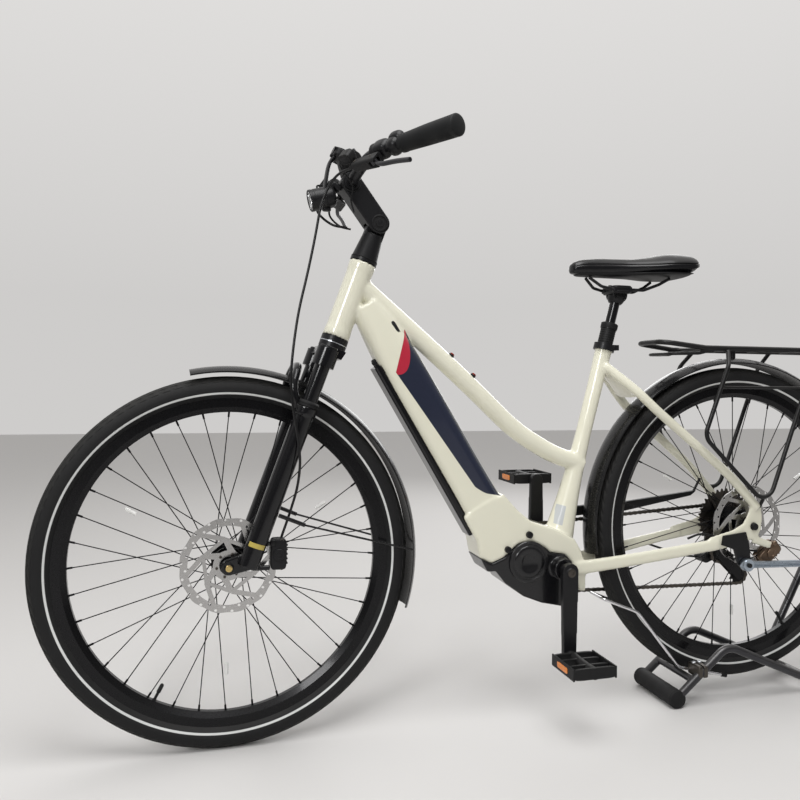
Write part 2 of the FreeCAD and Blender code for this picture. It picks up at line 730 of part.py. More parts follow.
def down_tube_envelope():
    width = cell("down_tube_width")
    wires = []
    for share, wide, deep in ((0, width - 28, 62), (0.2, width - 8, 80), (0.55, width - 2, 86), (1, width, 99)):
        wires.append(rounded(on_down_tube(share), RIGHT, down_normal, wide, deep, 20))
    return loft(wires)


def battery_room(clearance):
    """The battery's box inside the down tube, grown by a clearance."""
    wide = cell("battery_width") + 2 * clearance
    deep = cell("battery_depth") + 2 * clearance
    length = (frame_tube_end - frame_tube_top).Length
    middle = cell("battery_depth") / 2 - 37
    start, end = (on_down_tube(share, middle) for share in (0.24, 0.95))
    ring = rounded(start - down_along * clearance, RIGHT, down_normal, wide, deep, 9)
    return Part.Face(ring).extrude(down_along * ((end - start).Length + 2 * clearance))


def battery_cover_shape(clearance):
    wires = []
    for share, depth in ((0.225, 53), (0.965, 55.5)):
        middle = on_down_tube(share, -(37.5 + depth) / 2)
        wires.append(rounded(middle, RIGHT, down_normal, 50 + 2 * clearance,
                             depth - 37.5 + 2 * clearance, 6))
    return loft(wires, True)


def front_frame():
    """Head-to-motor tube with its battery, and the low top tube that lets the rider step through."""
    body = down_tube_envelope()
    bay = battery_room(1)
    mouth = battery_cover_shape(0.5)
    solid_node("down_tube", body.cut(head_tube_envelope()).cut(bay).cut(mouth))
    solid_node("battery", group([battery_room(0), battery_cover_shape(0).cut(battery_room(0))]))
    outer = cell("top_tube_radius")
    top = top_tube_line(outer).cut(top_tube_line(outer - cell("frame_wall")))
    top = top.cut(head_tube_envelope()).cut(body).cut(seat_tube_envelope())
    axis = boss_axis()
    for spot in bottle_bosses():
        top = top.cut(rod(spot - axis * 8, spot + axis * 4, cell("boss_radius")))
    solid_node("top_tube", top)


def top_tube_line(radius):
    return tube([site(248, 0, 905), site(362, 0, 810), site(489, 0, 701), site(596, 0, 601.5),
                 site(688, 0, 549), site(756, 0, 529)], radius)


def boss_axis():
    """Square to the top tube, up and to the rear."""
    along = (site(489, 0, 701) - site(362, 0, 810)).normalize()
    return FreeCAD.Vector(-along.z, 0, along.x)


def bottle_bosses():
    """The two threaded seats on the top tube's upper face, a bottle cage's pitch apart."""
    along = (site(489, 0, 701) - site(362, 0, 810)).normalize()
    middle = site(462, 0, 724.2) + boss_axis() * cell("top_tube_radius")
    half = along * cell("boss_pitch") / 2
    return middle - half, middle + half


def seat_tube_envelope():
    """The seat tube: round at the top, flaring into the motor's carrier."""
    radius = cell("seat_tube_radius")
    wires = []
    for height, along_half, across_half in ((60, 33, 30), (120, 26, 25), (220, radius, radius),
                                            (cell("seat_tube_top"), radius, radius)):
        wires.append(oval(on_seat_tube(height), seat_back, RIGHT, along_half + 0.01, across_half))
    return loft(wires)


MOTOR_SEAM = ((506, 343), (531, 330), (559, 341), (591, 368), (621, 372), (652, 358), (664, 347),
              (698, 341), (714, 325), (723, 301), (731, 262))


def motor_carrier():
    """The frame's cast carrier: it closes over the motor and joins the three tubes."""
    crest = ((748, 259), (748, 310), (738, 345), (722, 372), (672, 397), (620, 414), (590, 438),
             (556, 474), (510, 452), (470, 428), (499, 377))
    half = cell("bracket_width") / 2 - 2
    ring = [site(x, 0, z) for x, z in MOTOR_SEAM + crest]
    outside = slab(ring, -half, half)
    hollow = Part.Face(Part.makePolygon(ring + ring[:1])).makeOffset2D(-5)
    inside = joined([hollow.extrude(RIGHT * side * (half - 5)) for side in SIDES])
    window = block(site(575, -20, 345), site(640, 20, 385))
    return outside.cut(inside).cut(window)


def seat_tube():
    """The seat tube and the motor's carrier; returns the clamp round the tube's top."""
    tube_shape = seat_tube_envelope()
    carrier = motor_carrier().cut(down_tube_envelope()).cut(tube_shape)
    carrier = carrier.cut(battery_room(1)).cut(battery_cover_shape(0.5))
    bore = rod(on_seat_tube(cell("seat_tube_top") - cell("post_insertion") - 60),
               on_seat_tube(cell("seat_tube_top") + 1), cell("post_radius") + cell("fit"))
    top = cell("seat_tube_top")
    lower_hollow = rod(on_seat_tube(110), on_seat_tube(top - cell("post_insertion") - 59), 15)
    solid_node("seat_tube", tube_shape.cut(bore).cut(lower_hollow))
    solid_node("motor_carrier", carrier)
    ring = rod(on_seat_tube(top - 12), on_seat_tube(top + 2), cell("seat_tube_radius") + 4)
    ear = block(on_seat_tube(top - 5) + FreeCAD.Vector(18, -9, -6), on_seat_tube(top - 5) + FreeCAD.Vector(32, 9, 6))
    inner = rod(on_seat_tube(top - 13), on_seat_tube(top), cell("seat_tube_radius"))
    lip = rod(on_seat_tube(top - 1), on_seat_tube(top + 3), cell("post_radius") + cell("fit"))
    return joined([ring, ear]).cut(inner).cut(lip)


def dropout(side):
    """A rear frame end: it joins the two stays and holds the axle."""
    near = side * cell("rear_hub_width") / 2
    low, high = sorted((near, near + side * cell("dropout_thickness")))
    shape = [(1030, 337), (1110, 348), (1136, 358), (1156, 366), (1166, 382), (1168, 405),
             (1166, 436), (1140, 441), (1128, 412), (1118, 396), (1092, 383), (1030, 368)]
    web = slab([site(x, 0, z) for x, z in shape], low, high)
    holes = [cross_rod(rear_axle, cell("axle_radius"), 90)]
    if side < 0:
        web = joined([web, slab([site(x, 0, z) for x, z in ((1150, 368), (1196, 352), (1190, 336),
                                                            (1140, 352))], low, high)])
        holes += [cross_rod(site(x, 0, z), 3.2, 90) for x, z in ((1072, 361), (1110, 366))]
    else:
        web = joined([web, slab([site(x, 0, z) for x, z in ((1132, 376), (1164, 376), (1160, 336),
                                                            (1142, 336))], low, high)])
    for hole in holes:
        web = web.cut(hole)
    return web


def rear_triangle():
    """Chainstays, seatstays, their bridge and the two rear ends, welded into one piece."""
    pieces = [dropout(side) for side in SIDES]
    end_y = cell("stay_spacing") / 2
    for side in SIDES:
        wires = []
        for x, y, z, size in ((725, 34, 309.5, 1.05), (800, 43, 318, 1), (930, 60, 336, 0.95),
                              (1052, end_y, 353, 0.9)):
            wires.append(rounded(site(x, side * y, z), RIGHT, UP, cell("chainstay_width") * size,
                                 cell("chainstay_height") * size, 6))
        pieces.append(loft(wires))
        pieces.append(tube([site(804, side * 12, 744), site(862, side * 47, 690),
                            site(902, side * 58, 650), site(1085, side * 66, 505),
                            site(1154, side * 72, 430)], cell("seatstay_radius")))
    pieces.append(rod(site(864, -44, 687), site(864, 44, 687), 8))
    whole = joined(pieces)
    for neighbour in (seat_tube_envelope(), motor_carrier_block(), motor_block()):
        whole = whole.cut(neighbour)
    solid_node("rear_triangle", whole)


def motor_carrier_block():
    half = cell("bracket_width") / 2 - 2
    ring = [(731, 262), (748, 259), (748, 310), (738, 345), (722, 372), (672, 397), (664, 347),
            (698, 341), (714, 325), (723, 301)]
    return slab([site(x, 0, z) for x, z in ring], -half, half)


# ---- motor and drive ---------------------------------------------------------------

def motor_block():
    lower = ((724, 244), (690, 232), (644, 242), (603, 258), (562, 287), (540, 314), (522, 314))
    half = cell("motor_width") / 2
    return slab([site(x, 0, z) for x, z in MOTOR_SEAM + lower], -half, half)


def motor():
    """The mid-drive motor in its casing, and the round cover on its left side."""
    half = cell("motor_width") / 2
    casing = motor_block()
    boss = rod(bottom_bracket - RIGHT * 62, bottom_bracket, 22)
    bore = cross_rod(bottom_bracket, cell("spindle_radius") + cell("fit"), 70)
    solid_node("motor_housing", joined([casing, boss]).cut(bore))
    centre = site(613, -half, 330.5)
    disc = rod(centre, centre - RIGHT * 6, 44).cut(rod(bottom_bracket - RIGHT * 70, bottom_bracket, 23))
    solid_node("motor_cover", disc)


def crankset():
    """The spindle through the motor, the two crank arms and the pedal axles screwed into them."""
    inner = cell("crank_inset")
    outer = inner + cell("crank_thickness")
    spindle = cross_rod(bottom_bracket, cell("spindle_radius"), inner)
    bolts = [rod(bottom_bracket + RIGHT * side * outer, bottom_bracket + RIGHT * side * (outer + 3), 9)
             for side in SIDES]
    axles = []
    arms = []
    for side in SIDES:
        tip = pedal_centre(side)
        low, high = sorted((side * inner, side * outer))
        arms.append(arm(bottom_bracket, tip, 18, 14, low, high))
        start = tip + RIGHT * side * outer
        axles.append(rod(start, start + RIGHT * side * (cell("pedal_width") + 2),
                         cell("pedal_axle_radius")))
        axles.append(rod(start, start + RIGHT * side * 9, 8))
    solid_node("cranks", group(arms + bolts + [spindle, joined(axles[:2]), joined(axles[2:])]))


def pedal_centre(side):
    """The crank stands upright: left pedal down, right pedal up."""
    return bottom_bracket + UP * side * cell("crank_length")


def chainring():
    """The front sprocket on its five-armed spider, right of the motor."""
    line = cell("chain_line")
    rim_radius = pitch_radius(cell("ring_teeth")) - cell("chain_height") / 2 - cell("gap")
    centre = bottom_bracket + RIGHT * line
    band = cross_rod(centre, rim_radius, 1.1).cut(cross_rod(centre, rim_radius - 13, 2))
    start = cell("motor_width") / 2 + cell("gap") + 0.7
    carrier = rod(bottom_bracket + RIGHT * start, centre + RIGHT * 1.1, 22)
    arms = []
    for number in range(5):
        angle = number * 2 * math.pi / 5
        tip = bottom_bracket + FreeCAD.Vector(math.sin(angle), 0, math.cos(angle)) * (rim_radius - 8)
        arms.append(arm(bottom_bracket, tip, 12, 7, line - 1.1, line + 1.1))
    whole = joined([band, carrier] + arms)
    solid_node("chainring", whole.cut(cross_rod(bottom_bracket, cell("spindle_radius"), 80)))


def pedal(label, side):
    """A platform pedal turning on its axle, with an open window each side of the axle."""
    centre = pedal_centre(side)
    inner = cell("crank_inset") + cell("crank_thickness") + 9 + cell("gap")
    low, high = sorted((side * inner, side * (inner + cell("pedal_width"))))
    half_x = cell("pedal_length") / 2
    half_z = cell("pedal_height") / 2
    body = block(centre + FreeCAD.Vector(-half_x, low, -half_z), centre + FreeCAD.Vector(half_x, high, half_z))
    body = body.makeFillet(5, [edge for edge in body.Edges if edge.BoundBox.YLength > 20])
    for end in SIDES:
        near, far = sorted((end * 15, end * (half_x - 11)))
        body = body.cut(block(centre + FreeCAD.Vector(near, low + 11, -half_z - 1),
                              centre + FreeCAD.Vector(far, high - 11, half_z + 1)))
    bore = rod(centre + RIGHT * side * (inner - 1),
               centre + RIGHT * side * (inner + cell("pedal_width") - 6),
               cell("pedal_axle_radius") + cell("fit"))
    return solid_node(label, body.cut(bore))


guide_centre = site(1150, 0, 304)
tension_centre = site(1203, 0, 250)


def chain_loop():
    """The chain's middle line: four tangent arcs and the runs between them."""
    wheels = [(bottom_bracket, pitch_radius(cell("ring_teeth")), 1),
              (rear_axle, pitch_radius(cell("driven_teeth")), 1),
              (guide_centre, pitch_radius(cell("pulley_teeth")), -1),
              (tension_centre, pitch_radius(cell("pulley_teeth")), 1)]
    runs = []
    for (here, here_radius, here_side), (there, there_radius, there_side) in zip(
            wheels, wheels[1:] + wheels[:1]):
        a, b = here_radius * here_side, there_radius * there_side
        span = FreeCAD.Vector(there.x - here.x, 0, there.z - here.z)
        along = FreeCAD.Vector(span).normalize()
        left = FreeCAD.Vector(-along.z, 0, along.x)
        share = (a - b) / span.Length
        normal = along * share + left * math.sqrt(1 - share * share)
        runs.append((here + normal * a, there + normal * b))
    edges = []
    for number, (start, end) in enumerate(runs):
        following = runs[(number + 1) % len(runs)][0]
        centre, radius, side = wheels[(number + 1) % len(runs)]
        edges.append(Part.LineSegment(start, end).toShape())
        direction = (end - start).normalize()
        away, back = (end - centre), (following - centre)
        swing = math.atan2(away.cross(back).dot(RIGHT), away.dot(back)) * side
        if swing < 0:
            swing += 2 * math.pi
        turn = FreeCAD.Rotation(RIGHT, math.degrees(side * swing / 2))
        edges.append(Part.Arc(end, centre + turn.multVec(away), following).toShape())
    return Part.Wire(edges)


def chain():
    """The closed chain as a plain band of its outer size."""
    half = cell("chain_width") / 2
    line = chain_loop()
    line.translate(RIGHT * (cell("chain_line") - half))
    outer = line.makeOffset2D(cell("chain_height") / 2)
    inner = line.makeOffset2D(-cell("chain_height") / 2)
    faces = sorted((Part.Face(outer), Part.Face(inner)), key=lambda face: -face.Area)
    band = faces[0].cut(faces[1])
    solid_node("chain", band.extrude(RIGHT * cell("chain_width")).Solids[0])


def cassette():
    """Nine cogs on one sleeve; the chain runs on the third from outside."""
    teeth = (34, 30, 26, 23, 20, 17, 15, 13, 11)
    sleeve, bore = 20, 17.3
    first = cell("chain_line") - 6 * cell("cog_pitch")
    corners = [(first - 1, bore)]
    for number, tooth_count in enumerate(teeth):
        place = first + number * cell("cog_pitch")
        radius = pitch_radius(tooth_count) + 1.5
        if tooth_count == cell("driven_teeth"):
            radius = pitch_radius(tooth_count) - cell("chain_height") / 2 - cell("gap")
        corners += [(place - 0.9, sleeve), (place - 0.9, radius), (place + 0.9, radius), (place + 0.9, sleeve)]
    corners.append((first + 8 * cell("cog_pitch") + 0.9, bore))
    corners = corners[:1] + [(first - 1, sleeve)] + corners[2:]
    ring = [rear_axle + RIGHT * place + UP * radius for place, radius in corners]
    face = Part.Face(Part.makePolygon(ring + ring[:1]))
    solid_node("cassette", face.revolve(rear_axle, RIGHT, 360))


def derailleur():
    """The gear changer under the right rear end: body, cage plates and pulley pins."""
    line = cell("chain_line")
    hanger_y = cell("rear_hub_width") / 2 + cell("dropout_thickness")
    body = arm(site(1151, 0, 345), guide_centre, 15, 13, hanger_y, hanger_y + 16)
    knuckle = arm(guide_centre, site(1122, 0, 290), 15, 12, line + 8, hanger_y + 18)
    plates = [arm(guide_centre, tension_centre, 15, 13, low, low + 2) for low in (line - 8.5, line + 6.5)]
    pins = [cross_rod(spot + RIGHT * line, 3, 7.5) for spot in (guide_centre, tension_centre)]
    solid_node("derailleur", joined([body, knuckle] + plates + pins))


def pulley(label, centre):
    """A small idler wheel on its pin in the cage."""
    rim_radius = pitch_radius(cell("pulley_teeth")) - cell("chain_height") / 2 - cell("gap")
    keep(label, turned(label, [("-4", "3 + fit"), ("4", "3 + fit"), ("4", "8"), ("1.2", "8"),
                               ("1.2", f"{rim_radius}"), ("-1.2", f"{rim_radius}"), ("-1.2", "8"),
                               ("-4", "8")], centre + RIGHT * cell("chain_line")))


def chain_guard():
    """The bar over the chain's upper run, with a foot on the seat tube and one on the stay."""
    ring = [site(x, 0, z) for x, z in ((722, 404), (892, 413), (1067, 443), (1083, 455), (892, 434), (722, 426))]
    bar = slab(ring, 46, 58)
    foot = rod(site(736, 18, 415), site(736, 47, 415), 5).cut(seat_tube_envelope())
    tail = rod(site(1076, 52, 449), site(1100, 58, 482), 3)
    solid_node("chain_guard", joined([bar, foot, tail]).cut(piece("rear_triangle")))


# ---- seat --------------------------------------------------------------------------

def seat_post():
    """A sprung seat post: the outer tube clamps in the frame, the plunger slides in it."""
    top = cell("seat_tube_top") + cell("post_projection")
    bottom = cell("seat_tube_top") - cell("post_insertion")
    outer = rod(on_seat_tube(bottom), on_seat_tube(top), cell("post_radius"))
    collar = rod(on_seat_tube(top - 12), on_seat_tube(top), cell("post_radius") + 2.5)
    inside = rod(on_seat_tube(bottom + 20), on_seat_tube(top + 1), cell("plunger_radius") + cell("fit"))
    solid_node("seatpost_outer", joined([outer, collar]).cut(inside))
    head = on_seat_tube(top + 66)
    plunger = rod(on_seat_tube(bottom + 90), head, cell("plunger_radius"))
    cradle = cross_rod(head, 12, 17)
    solid_node("seatpost_plunger", joined([plunger, cradle]))
    return head


def saddle():
    """The padded cover over its shell, carried by two rails in a clamp on the post's head."""
    head = on_seat_tube(cell("seat_tube_top") + cell("post_projection") + 66)
    half = cell("saddle_width") / 2
    stations = ((722, 0.10, 961, 950), (738, 0.20, 968, 944), (790, 0.28, 977, 943), (850, 0.44, 985, 947),
                (900, 0.74, 991, 947), (945, 0.98, 995, 945), (985, 1.0, 997, 947), (1006, 0.72, 992, 958))
    tops = []
    shells = []
    for x, share, crown, skirt in stations:
        wide = half * share
        left, right = site(x, -wide, skirt), site(x, wide, skirt)
        curve = Part.Arc(left, site(x, 0, crown), right).toShape()
        tops.append(Part.Wire([curve, Part.LineSegment(right, left).toShape()]))
        inset = wide * 0.9
        low, high = skirt - 4.5, skirt - 0.5
        shells.append(Part.makePolygon([site(x, -inset, low), site(x, inset, low), site(x, inset, high),
                                        site(x, -inset, high), site(x, -inset, low)]))
    solid_node("saddle_cover", loft(tops, True))
    pieces = []
    rail_y = cell("rail_spacing") / 2
    for side in SIDES:
        pieces.append(tube([site(765, side * 8, 938), site(790, side * 18, 918), site(815, side * rail_y, 913),
                            site(892, side * rail_y, 913), site(925, side * (rail_y + 8), 926),
                            site(948, side * (rail_y + 16), 940)], cell("rail_radius"), 14))
    yoke = cross_rod(head, 17, 17).cut(cross_rod(head, 12 + cell("fit"), 18))
    passage = rod(head - seat_up * 2, head - seat_up * 40, cell("plunger_radius") + 9)
    wing = block(FreeCAD.Vector(head.x - 22, -rail_y - 6, 907), FreeCAD.Vector(head.x + 22, rail_y + 6, 919))
    inside = cross_rod(head, 12 + cell("fit"), 18)
    clamp = joined([yoke.cut(passage), wing.cut(inside)])
    for rail in pieces:
        clamp = clamp.cut(rail)
    shell = loft(shells[1:7], True)
    for rail in pieces:
        shell = shell.cut(rail)
    solid_node("saddle_shell", shell)
    solid_node("saddle_rails", group(pieces + clamp.Solids))


# ---- rack, rear fender, rear brake and kickstand -----------------------------------

def rear_rack():
    """A tubular luggage rack with a raised front hoop and one bent leg each side."""
    deck, half, rear = cell("rack_height"), cell("rack_half_width"), cell("rack_rear")
    pieces = [tube([site(rear, half, deck), site(1024, half, deck), site(922, half - 10, deck + 12),
                    site(922, 10 - half, deck + 12), site(1024, -half, deck), site(rear, -half, deck)],
                   cell("rack_tube"), 28)]
    pieces.append(rod(site(rear, -half, deck), site(rear, half, deck), cell("rack_tube")))
    pieces.append(tube([site(1060, half, deck), site(1010, half - 5, deck - 12), site(948, half - 12, deck - 14),
                        site(948, 12 - half, deck - 14), site(1010, 5 - half, deck - 12),
                        site(1060, -half, deck)], 4, 24))
    for x in (1040, 1135, 1230, 1325):
        pieces.append(rod(site(x, -half, deck), site(x, half, deck), 3.5))
    for y in (-20, 20):
        pieces.append(rod(site(1038, y, deck), site(rear, y, deck), 3))
    leg_y = cell("rack_leg_y")
    for side in SIDES:
        outside = side * (leg_y + 6)
        pieces.append(tube([site(1082, side * half, deck - 3), site(1064, outside, deck - 38),
                            site(1004, outside, 592), site(1168, outside, 434),
                            site(1288, outside, deck - 38), site(1298, side * half, deck - 3)],
                           cell("rack_leg_tube"), 30))
        pieces.append(rod(site(1050, outside, 700), site(1266, outside, 700), 3.5))
        pieces.append(rod(site(1157, outside, 452), site(1157, side * 74.5, 432), 4))
    solid_node("rear_rack", joined(pieces).cut(piece("rear_triangle")))


def rear_fender():
    strip = fender(rear_axle, cell("rear_fender_radius"), -98.6, 96)
    solid_node("rear_fender", strip)


def kickstand():
    """The folding side stand's leg; returns the bracket and pin that carry it."""
    pivot = site(1116, 0, 308)
    face = -(cell("rear_hub_width") / 2 + cell("dropout_thickness"))
    ring = [site(x, 0, z) for x, z in ((1058, 352), (1062, 372), (1120, 378), (1128, 352), (1134, 308),
                                       (1116, 290), (1099, 308), (1092, 340))]
    bracket = slab(ring, face - 4.5, face)
    pin = rod(pivot + RIGHT * face, pivot + RIGHT * (face - 24), 5)
    inner = face - 4.5 - cell("gap")
    tip = pivot + REARWARD * cell("kick_length") - UP * 10
    eye = rod(pivot + RIGHT * (inner - 16), pivot + RIGHT * inner, 14)
    line = RIGHT * (inner - 8)
    leg = rod(pivot + line, tip + line, cell("kick_radius"))
    foot = Part.makeSphere(10, tip + line)
    bore = rod(pivot + RIGHT * (inner - 30), pivot + RIGHT * (inner + 2), 5 + cell("fit"))
    solid_node("kickstand", joined([eye, leg, foot]).cut(bore))
    return joined([bracket, pin])


def cable_housings():
    """The rear brake's hose and the gear cable, from the chainstays to what they work."""
    brake = [site(985, -58, 366), site(1016, -58, 376), site(1050, -58, 370), site(1086, -58, 350),
             site(1125, -58, 335), site(1166, -58, 330)]
    gear = [site(965, 74, 330), site(1000, 80, 318), site(1040, 84, 304), site(1080, 86, 292), site(1116, 84, 288)]
    for name, points in (("rear brake hose", brake), ("gear cable", gear)):
        print_radii(name, points)
    solid_node("cable_housings", group([tube(brake, 2.5), tube(gear, 2.5).cut(piece("derailleur"))]))


def fittings(made):
    """Bottle-cage seats, motor bolts and the rear fender's lug, beside the fittings handed in."""
    axis = boss_axis()
    for spot in bottle_bosses():
        insert = rod(spot - axis * 14, spot + axis * 3, cell("boss_radius"))
        made.append(insert.cut(rod(spot - axis * 15, spot + axis * 4, cell("boss_bore"))))
    face = cell("bracket_width") / 2 - 2
    for x, z in ((566, 358), (614, 387)):
        for side in SIDES:
            made.append(rod(site(x, side * face, z), site(x, side * (face + 5), z), 7))
    crown = cell("rear_fender_radius")
    made.append(rod(rear_axle + UP * crown, rear_axle + UP * (cell("rack_height") - rear_axle.z - 3.5), 6))
    solid_node("frame_fittings", group(made))


# ---- display stand -----------------------------------------------------------------

def stand_path(side):
    """One side tube's line: up from the front foot, over the bend, down to the rear foot."""
    y = side * cell("stand_half_width")
    return [site(cell("foot_x"), y, cell("sleeve_radius")),
            site(cell("stand_bend_x"), y, cell("stand_bend_z")),
            site(cell("rear_foot_x"), y, cell("stand_tube"))]


def cradle_place(start, end):
    """Where a cross bar on a side tube's line just clears the resting tyre."""
    reach = cell("tyre_radius") + cell("cradle_tube") + cell("gap")
    along = (end - start).normalize()
    offset = start - FreeCAD.Vector(rear_axle.x, start.y, rear_axle.z)
    middle = -offset.dot(along)
    spread = math.sqrt(middle ** 2 - offset.dot(offset) + reach ** 2)
    near, far = (start + along * (middle + sign * spread) for sign in SIDES)
    return near if 0 < (near - start).dot(along) < (end - start).Length else far


def volume_of(shape):
    return shape.Volume


def stand():
    """A floor stand that cradles and straddles the rear wheel."""
    tube_radius = cell("stand_tube")
    sides = [tube(stand_path(side), tube_radius, 42) for side in SIDES]
    foot, bend, rear = stand_path(-1)
    half = cell("stand_half_width")
    cross = []
    for spot, radius in ((foot, tube_radius), (rear, tube_radius)):
        cross.append(rod(spot, spot + RIGHT * 2 * half, radius))
    for spot in (cradle_place(foot, bend), cradle_place(bend, rear)):
        cross.append(rod(spot, spot + RIGHT * 2 * half, cell("cradle_tube")))
    sleeve_half = cell("sleeve_half_length")
    middle = foot + RIGHT * half
    sleeve = cross_rod(middle, cell("sleeve_radius"), sleeve_half)
    room = cross_rod(middle, tube_radius, half)
    frame = joined(sides)
    bars = [bar.cut(frame) for bar in cross]
    solid_node("stand_foot_sleeve", sleeve.cut(room).cut(frame))
    bottom = site(hoop_foot_x, 0, hoop_foot_z)
    top = site(hoop_top_x, 0, cell("hoop_height"))
    hoop = tube([bottom - RIGHT * half, top - RIGHT * half, top + RIGHT * half, bottom + RIGHT * half],
                tube_radius, 45)
    welded = frame.Solids + hoop.cut(frame).Solids + [max(bar.Solids, key=volume_of) for bar in bars]
    solid_node("stand_frame", group(welded))


def wire_guard():
    """The bright wire bent round the front of the tyre, with its clamps on the side tubes."""
    half = [(1101, 40, 48), (978, 38, 77), (876, 35, 205), (794, 31, 238)]
    left = [site(x, -y, z) for x, y, z in half]
    right = [site(x, y, z) for x, y, z in reversed(half)]
    wire = tube(left + right, cell("wire_radius"), 14)
    bow_room = block(site(780, -60, 200), site(810, 60, 260))
    pieces = wire.common(bow_room).Solids + wire.cut(bow_room).Solids
    frame = joined([tube(stand_path(side), cell("stand_tube"), 42) for side in SIDES])
    for side in SIDES:
        low, high = sorted((side * 33, side * (cell("stand_half_width") + 12)))
        body = block(site(1006, low, 58), site(1028, high, 90))
        pieces.append(max(body.cut(frame).cut(wire).Solids, key=volume_of))
    solid_node("stand_wire_guard", group(pieces))


# ---- the whole bicycle -------------------------------------------------------------

def wheels():
    front_rotor_y = -(cell("front_hub_width") / 2 - 10.5)
    rear_rotor_y = -(cell("rear_hub_width") / 2 - 15.3)
    for name, axle, flanges, rotor_y, width in (
            ("front", front_axle, (-24, 33), front_rotor_y, "front_hub_width"),
            ("rear", rear_axle, (-33, 18), rear_rotor_y, "rear_hub_width")):
        tyre(name + "_tyre", axle)
        rim(name + "_rim", axle)
        spokes(name + "_spokes", axle, *flanges)
        hub(name + "_hub", axle, width, *flanges, rotor_y, name == "rear")
        rotor(name + "_rotor", axle, rotor_y)
    through_axle("front_axle", front_axle, 59)
    through_axle("rear_axle", rear_axle, 74.5)
    caliper("front_caliper", site(92, 0, 375), FreeCAD.Vector(1, 0, 0), -27, -56, front_rotor_y)
    outward = FreeCAD.Vector(0.64, 0, -0.768)
    caliper("rear_caliper", rear_axle + outward * 84, outward, -38, -67.2, rear_rotor_y)


def build():
    wheels()
    fork_upper()
    fork_lowers()
    front_fender()
    stem_base()
    stem_arm()
    handlebar()
    grips()
    bar_controls()
    display()
    headlamp()
    front_brake_hose()
    head_tube()
    headset_cups()
    front_frame()
    clamp = seat_tube()
    rear_triangle()
    motor()
    crankset()
    chainring()
    pedal("pedal_left", -1)
    pedal("pedal_right", 1)
    chain()
    cassette()
    derailleur()
    pulley("guide_pulley", guide_centre)
    pulley("tension_pulley", tension_centre)
    chain_guard()
    seat_post()
    saddle()
    rear_rack()
    rear_fender()
    cable_housings()
    fittings([clamp, kickstand()])
    stand()
    wire_guard()


def check_and_write():
    """Refuse a failed feature or an empty, broken piece; then write one file per node."""
    doc.recompute()
    failed = [item.Name for item in doc.Objects if {"Invalid", "Error"} & set(item.State)]
    for node in nodes:
        if node.Shape.isNull() or not node.Shape.isValid() or not node.Shape.Solids:
            failed.append(node.Label)
    if failed:
        raise RuntimeError("these objects failed: " + ", ".join(failed))
    os.makedirs("parts", exist_ok=True)
    for node in nodes:
        node.Shape.exportStep(os.path.join("parts", node.Label + ".step"))
    print(len(nodes), "nodes written")


build()
check_and_write()
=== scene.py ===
import json
import math

import bpy
import numpy as np
from mathutils import Matrix, Vector


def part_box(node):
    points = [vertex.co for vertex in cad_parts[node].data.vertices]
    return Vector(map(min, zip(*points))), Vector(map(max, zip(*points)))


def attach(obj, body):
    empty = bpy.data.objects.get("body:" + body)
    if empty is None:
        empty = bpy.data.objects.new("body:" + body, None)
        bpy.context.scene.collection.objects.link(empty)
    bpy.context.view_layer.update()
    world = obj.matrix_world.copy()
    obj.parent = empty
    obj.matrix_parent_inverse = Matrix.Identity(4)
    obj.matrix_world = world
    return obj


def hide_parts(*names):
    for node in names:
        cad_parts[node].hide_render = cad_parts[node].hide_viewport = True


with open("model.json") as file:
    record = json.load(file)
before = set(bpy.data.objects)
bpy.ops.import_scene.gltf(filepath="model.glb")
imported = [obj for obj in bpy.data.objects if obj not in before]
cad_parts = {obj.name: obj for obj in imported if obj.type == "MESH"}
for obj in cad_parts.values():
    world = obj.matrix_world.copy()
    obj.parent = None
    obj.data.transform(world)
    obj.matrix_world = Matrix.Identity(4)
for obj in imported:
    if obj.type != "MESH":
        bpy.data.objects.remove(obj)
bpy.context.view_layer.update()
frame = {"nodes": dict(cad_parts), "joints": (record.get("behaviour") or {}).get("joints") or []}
nodes = frame["nodes"]
joints = {joint["name"]: joint for joint in frame["joints"]}


# ---- the room ----------------------------------------------------------------------
# A pale floor under the stand and the front wheel, three soft lamps, and a light grey
# room. Reflections find its side behind the camera darker, so that black parts stay
# black, while the camera itself sees the room pale all round.

FLOOR_COLOUR = (0.60, 0.59, 0.58, 1)
ROOM_COLOUR = (0.63, 0.62, 0.61, 1)
ROOM_STRENGTH_SEEN = 0.98
FLOOR_REACH = 9


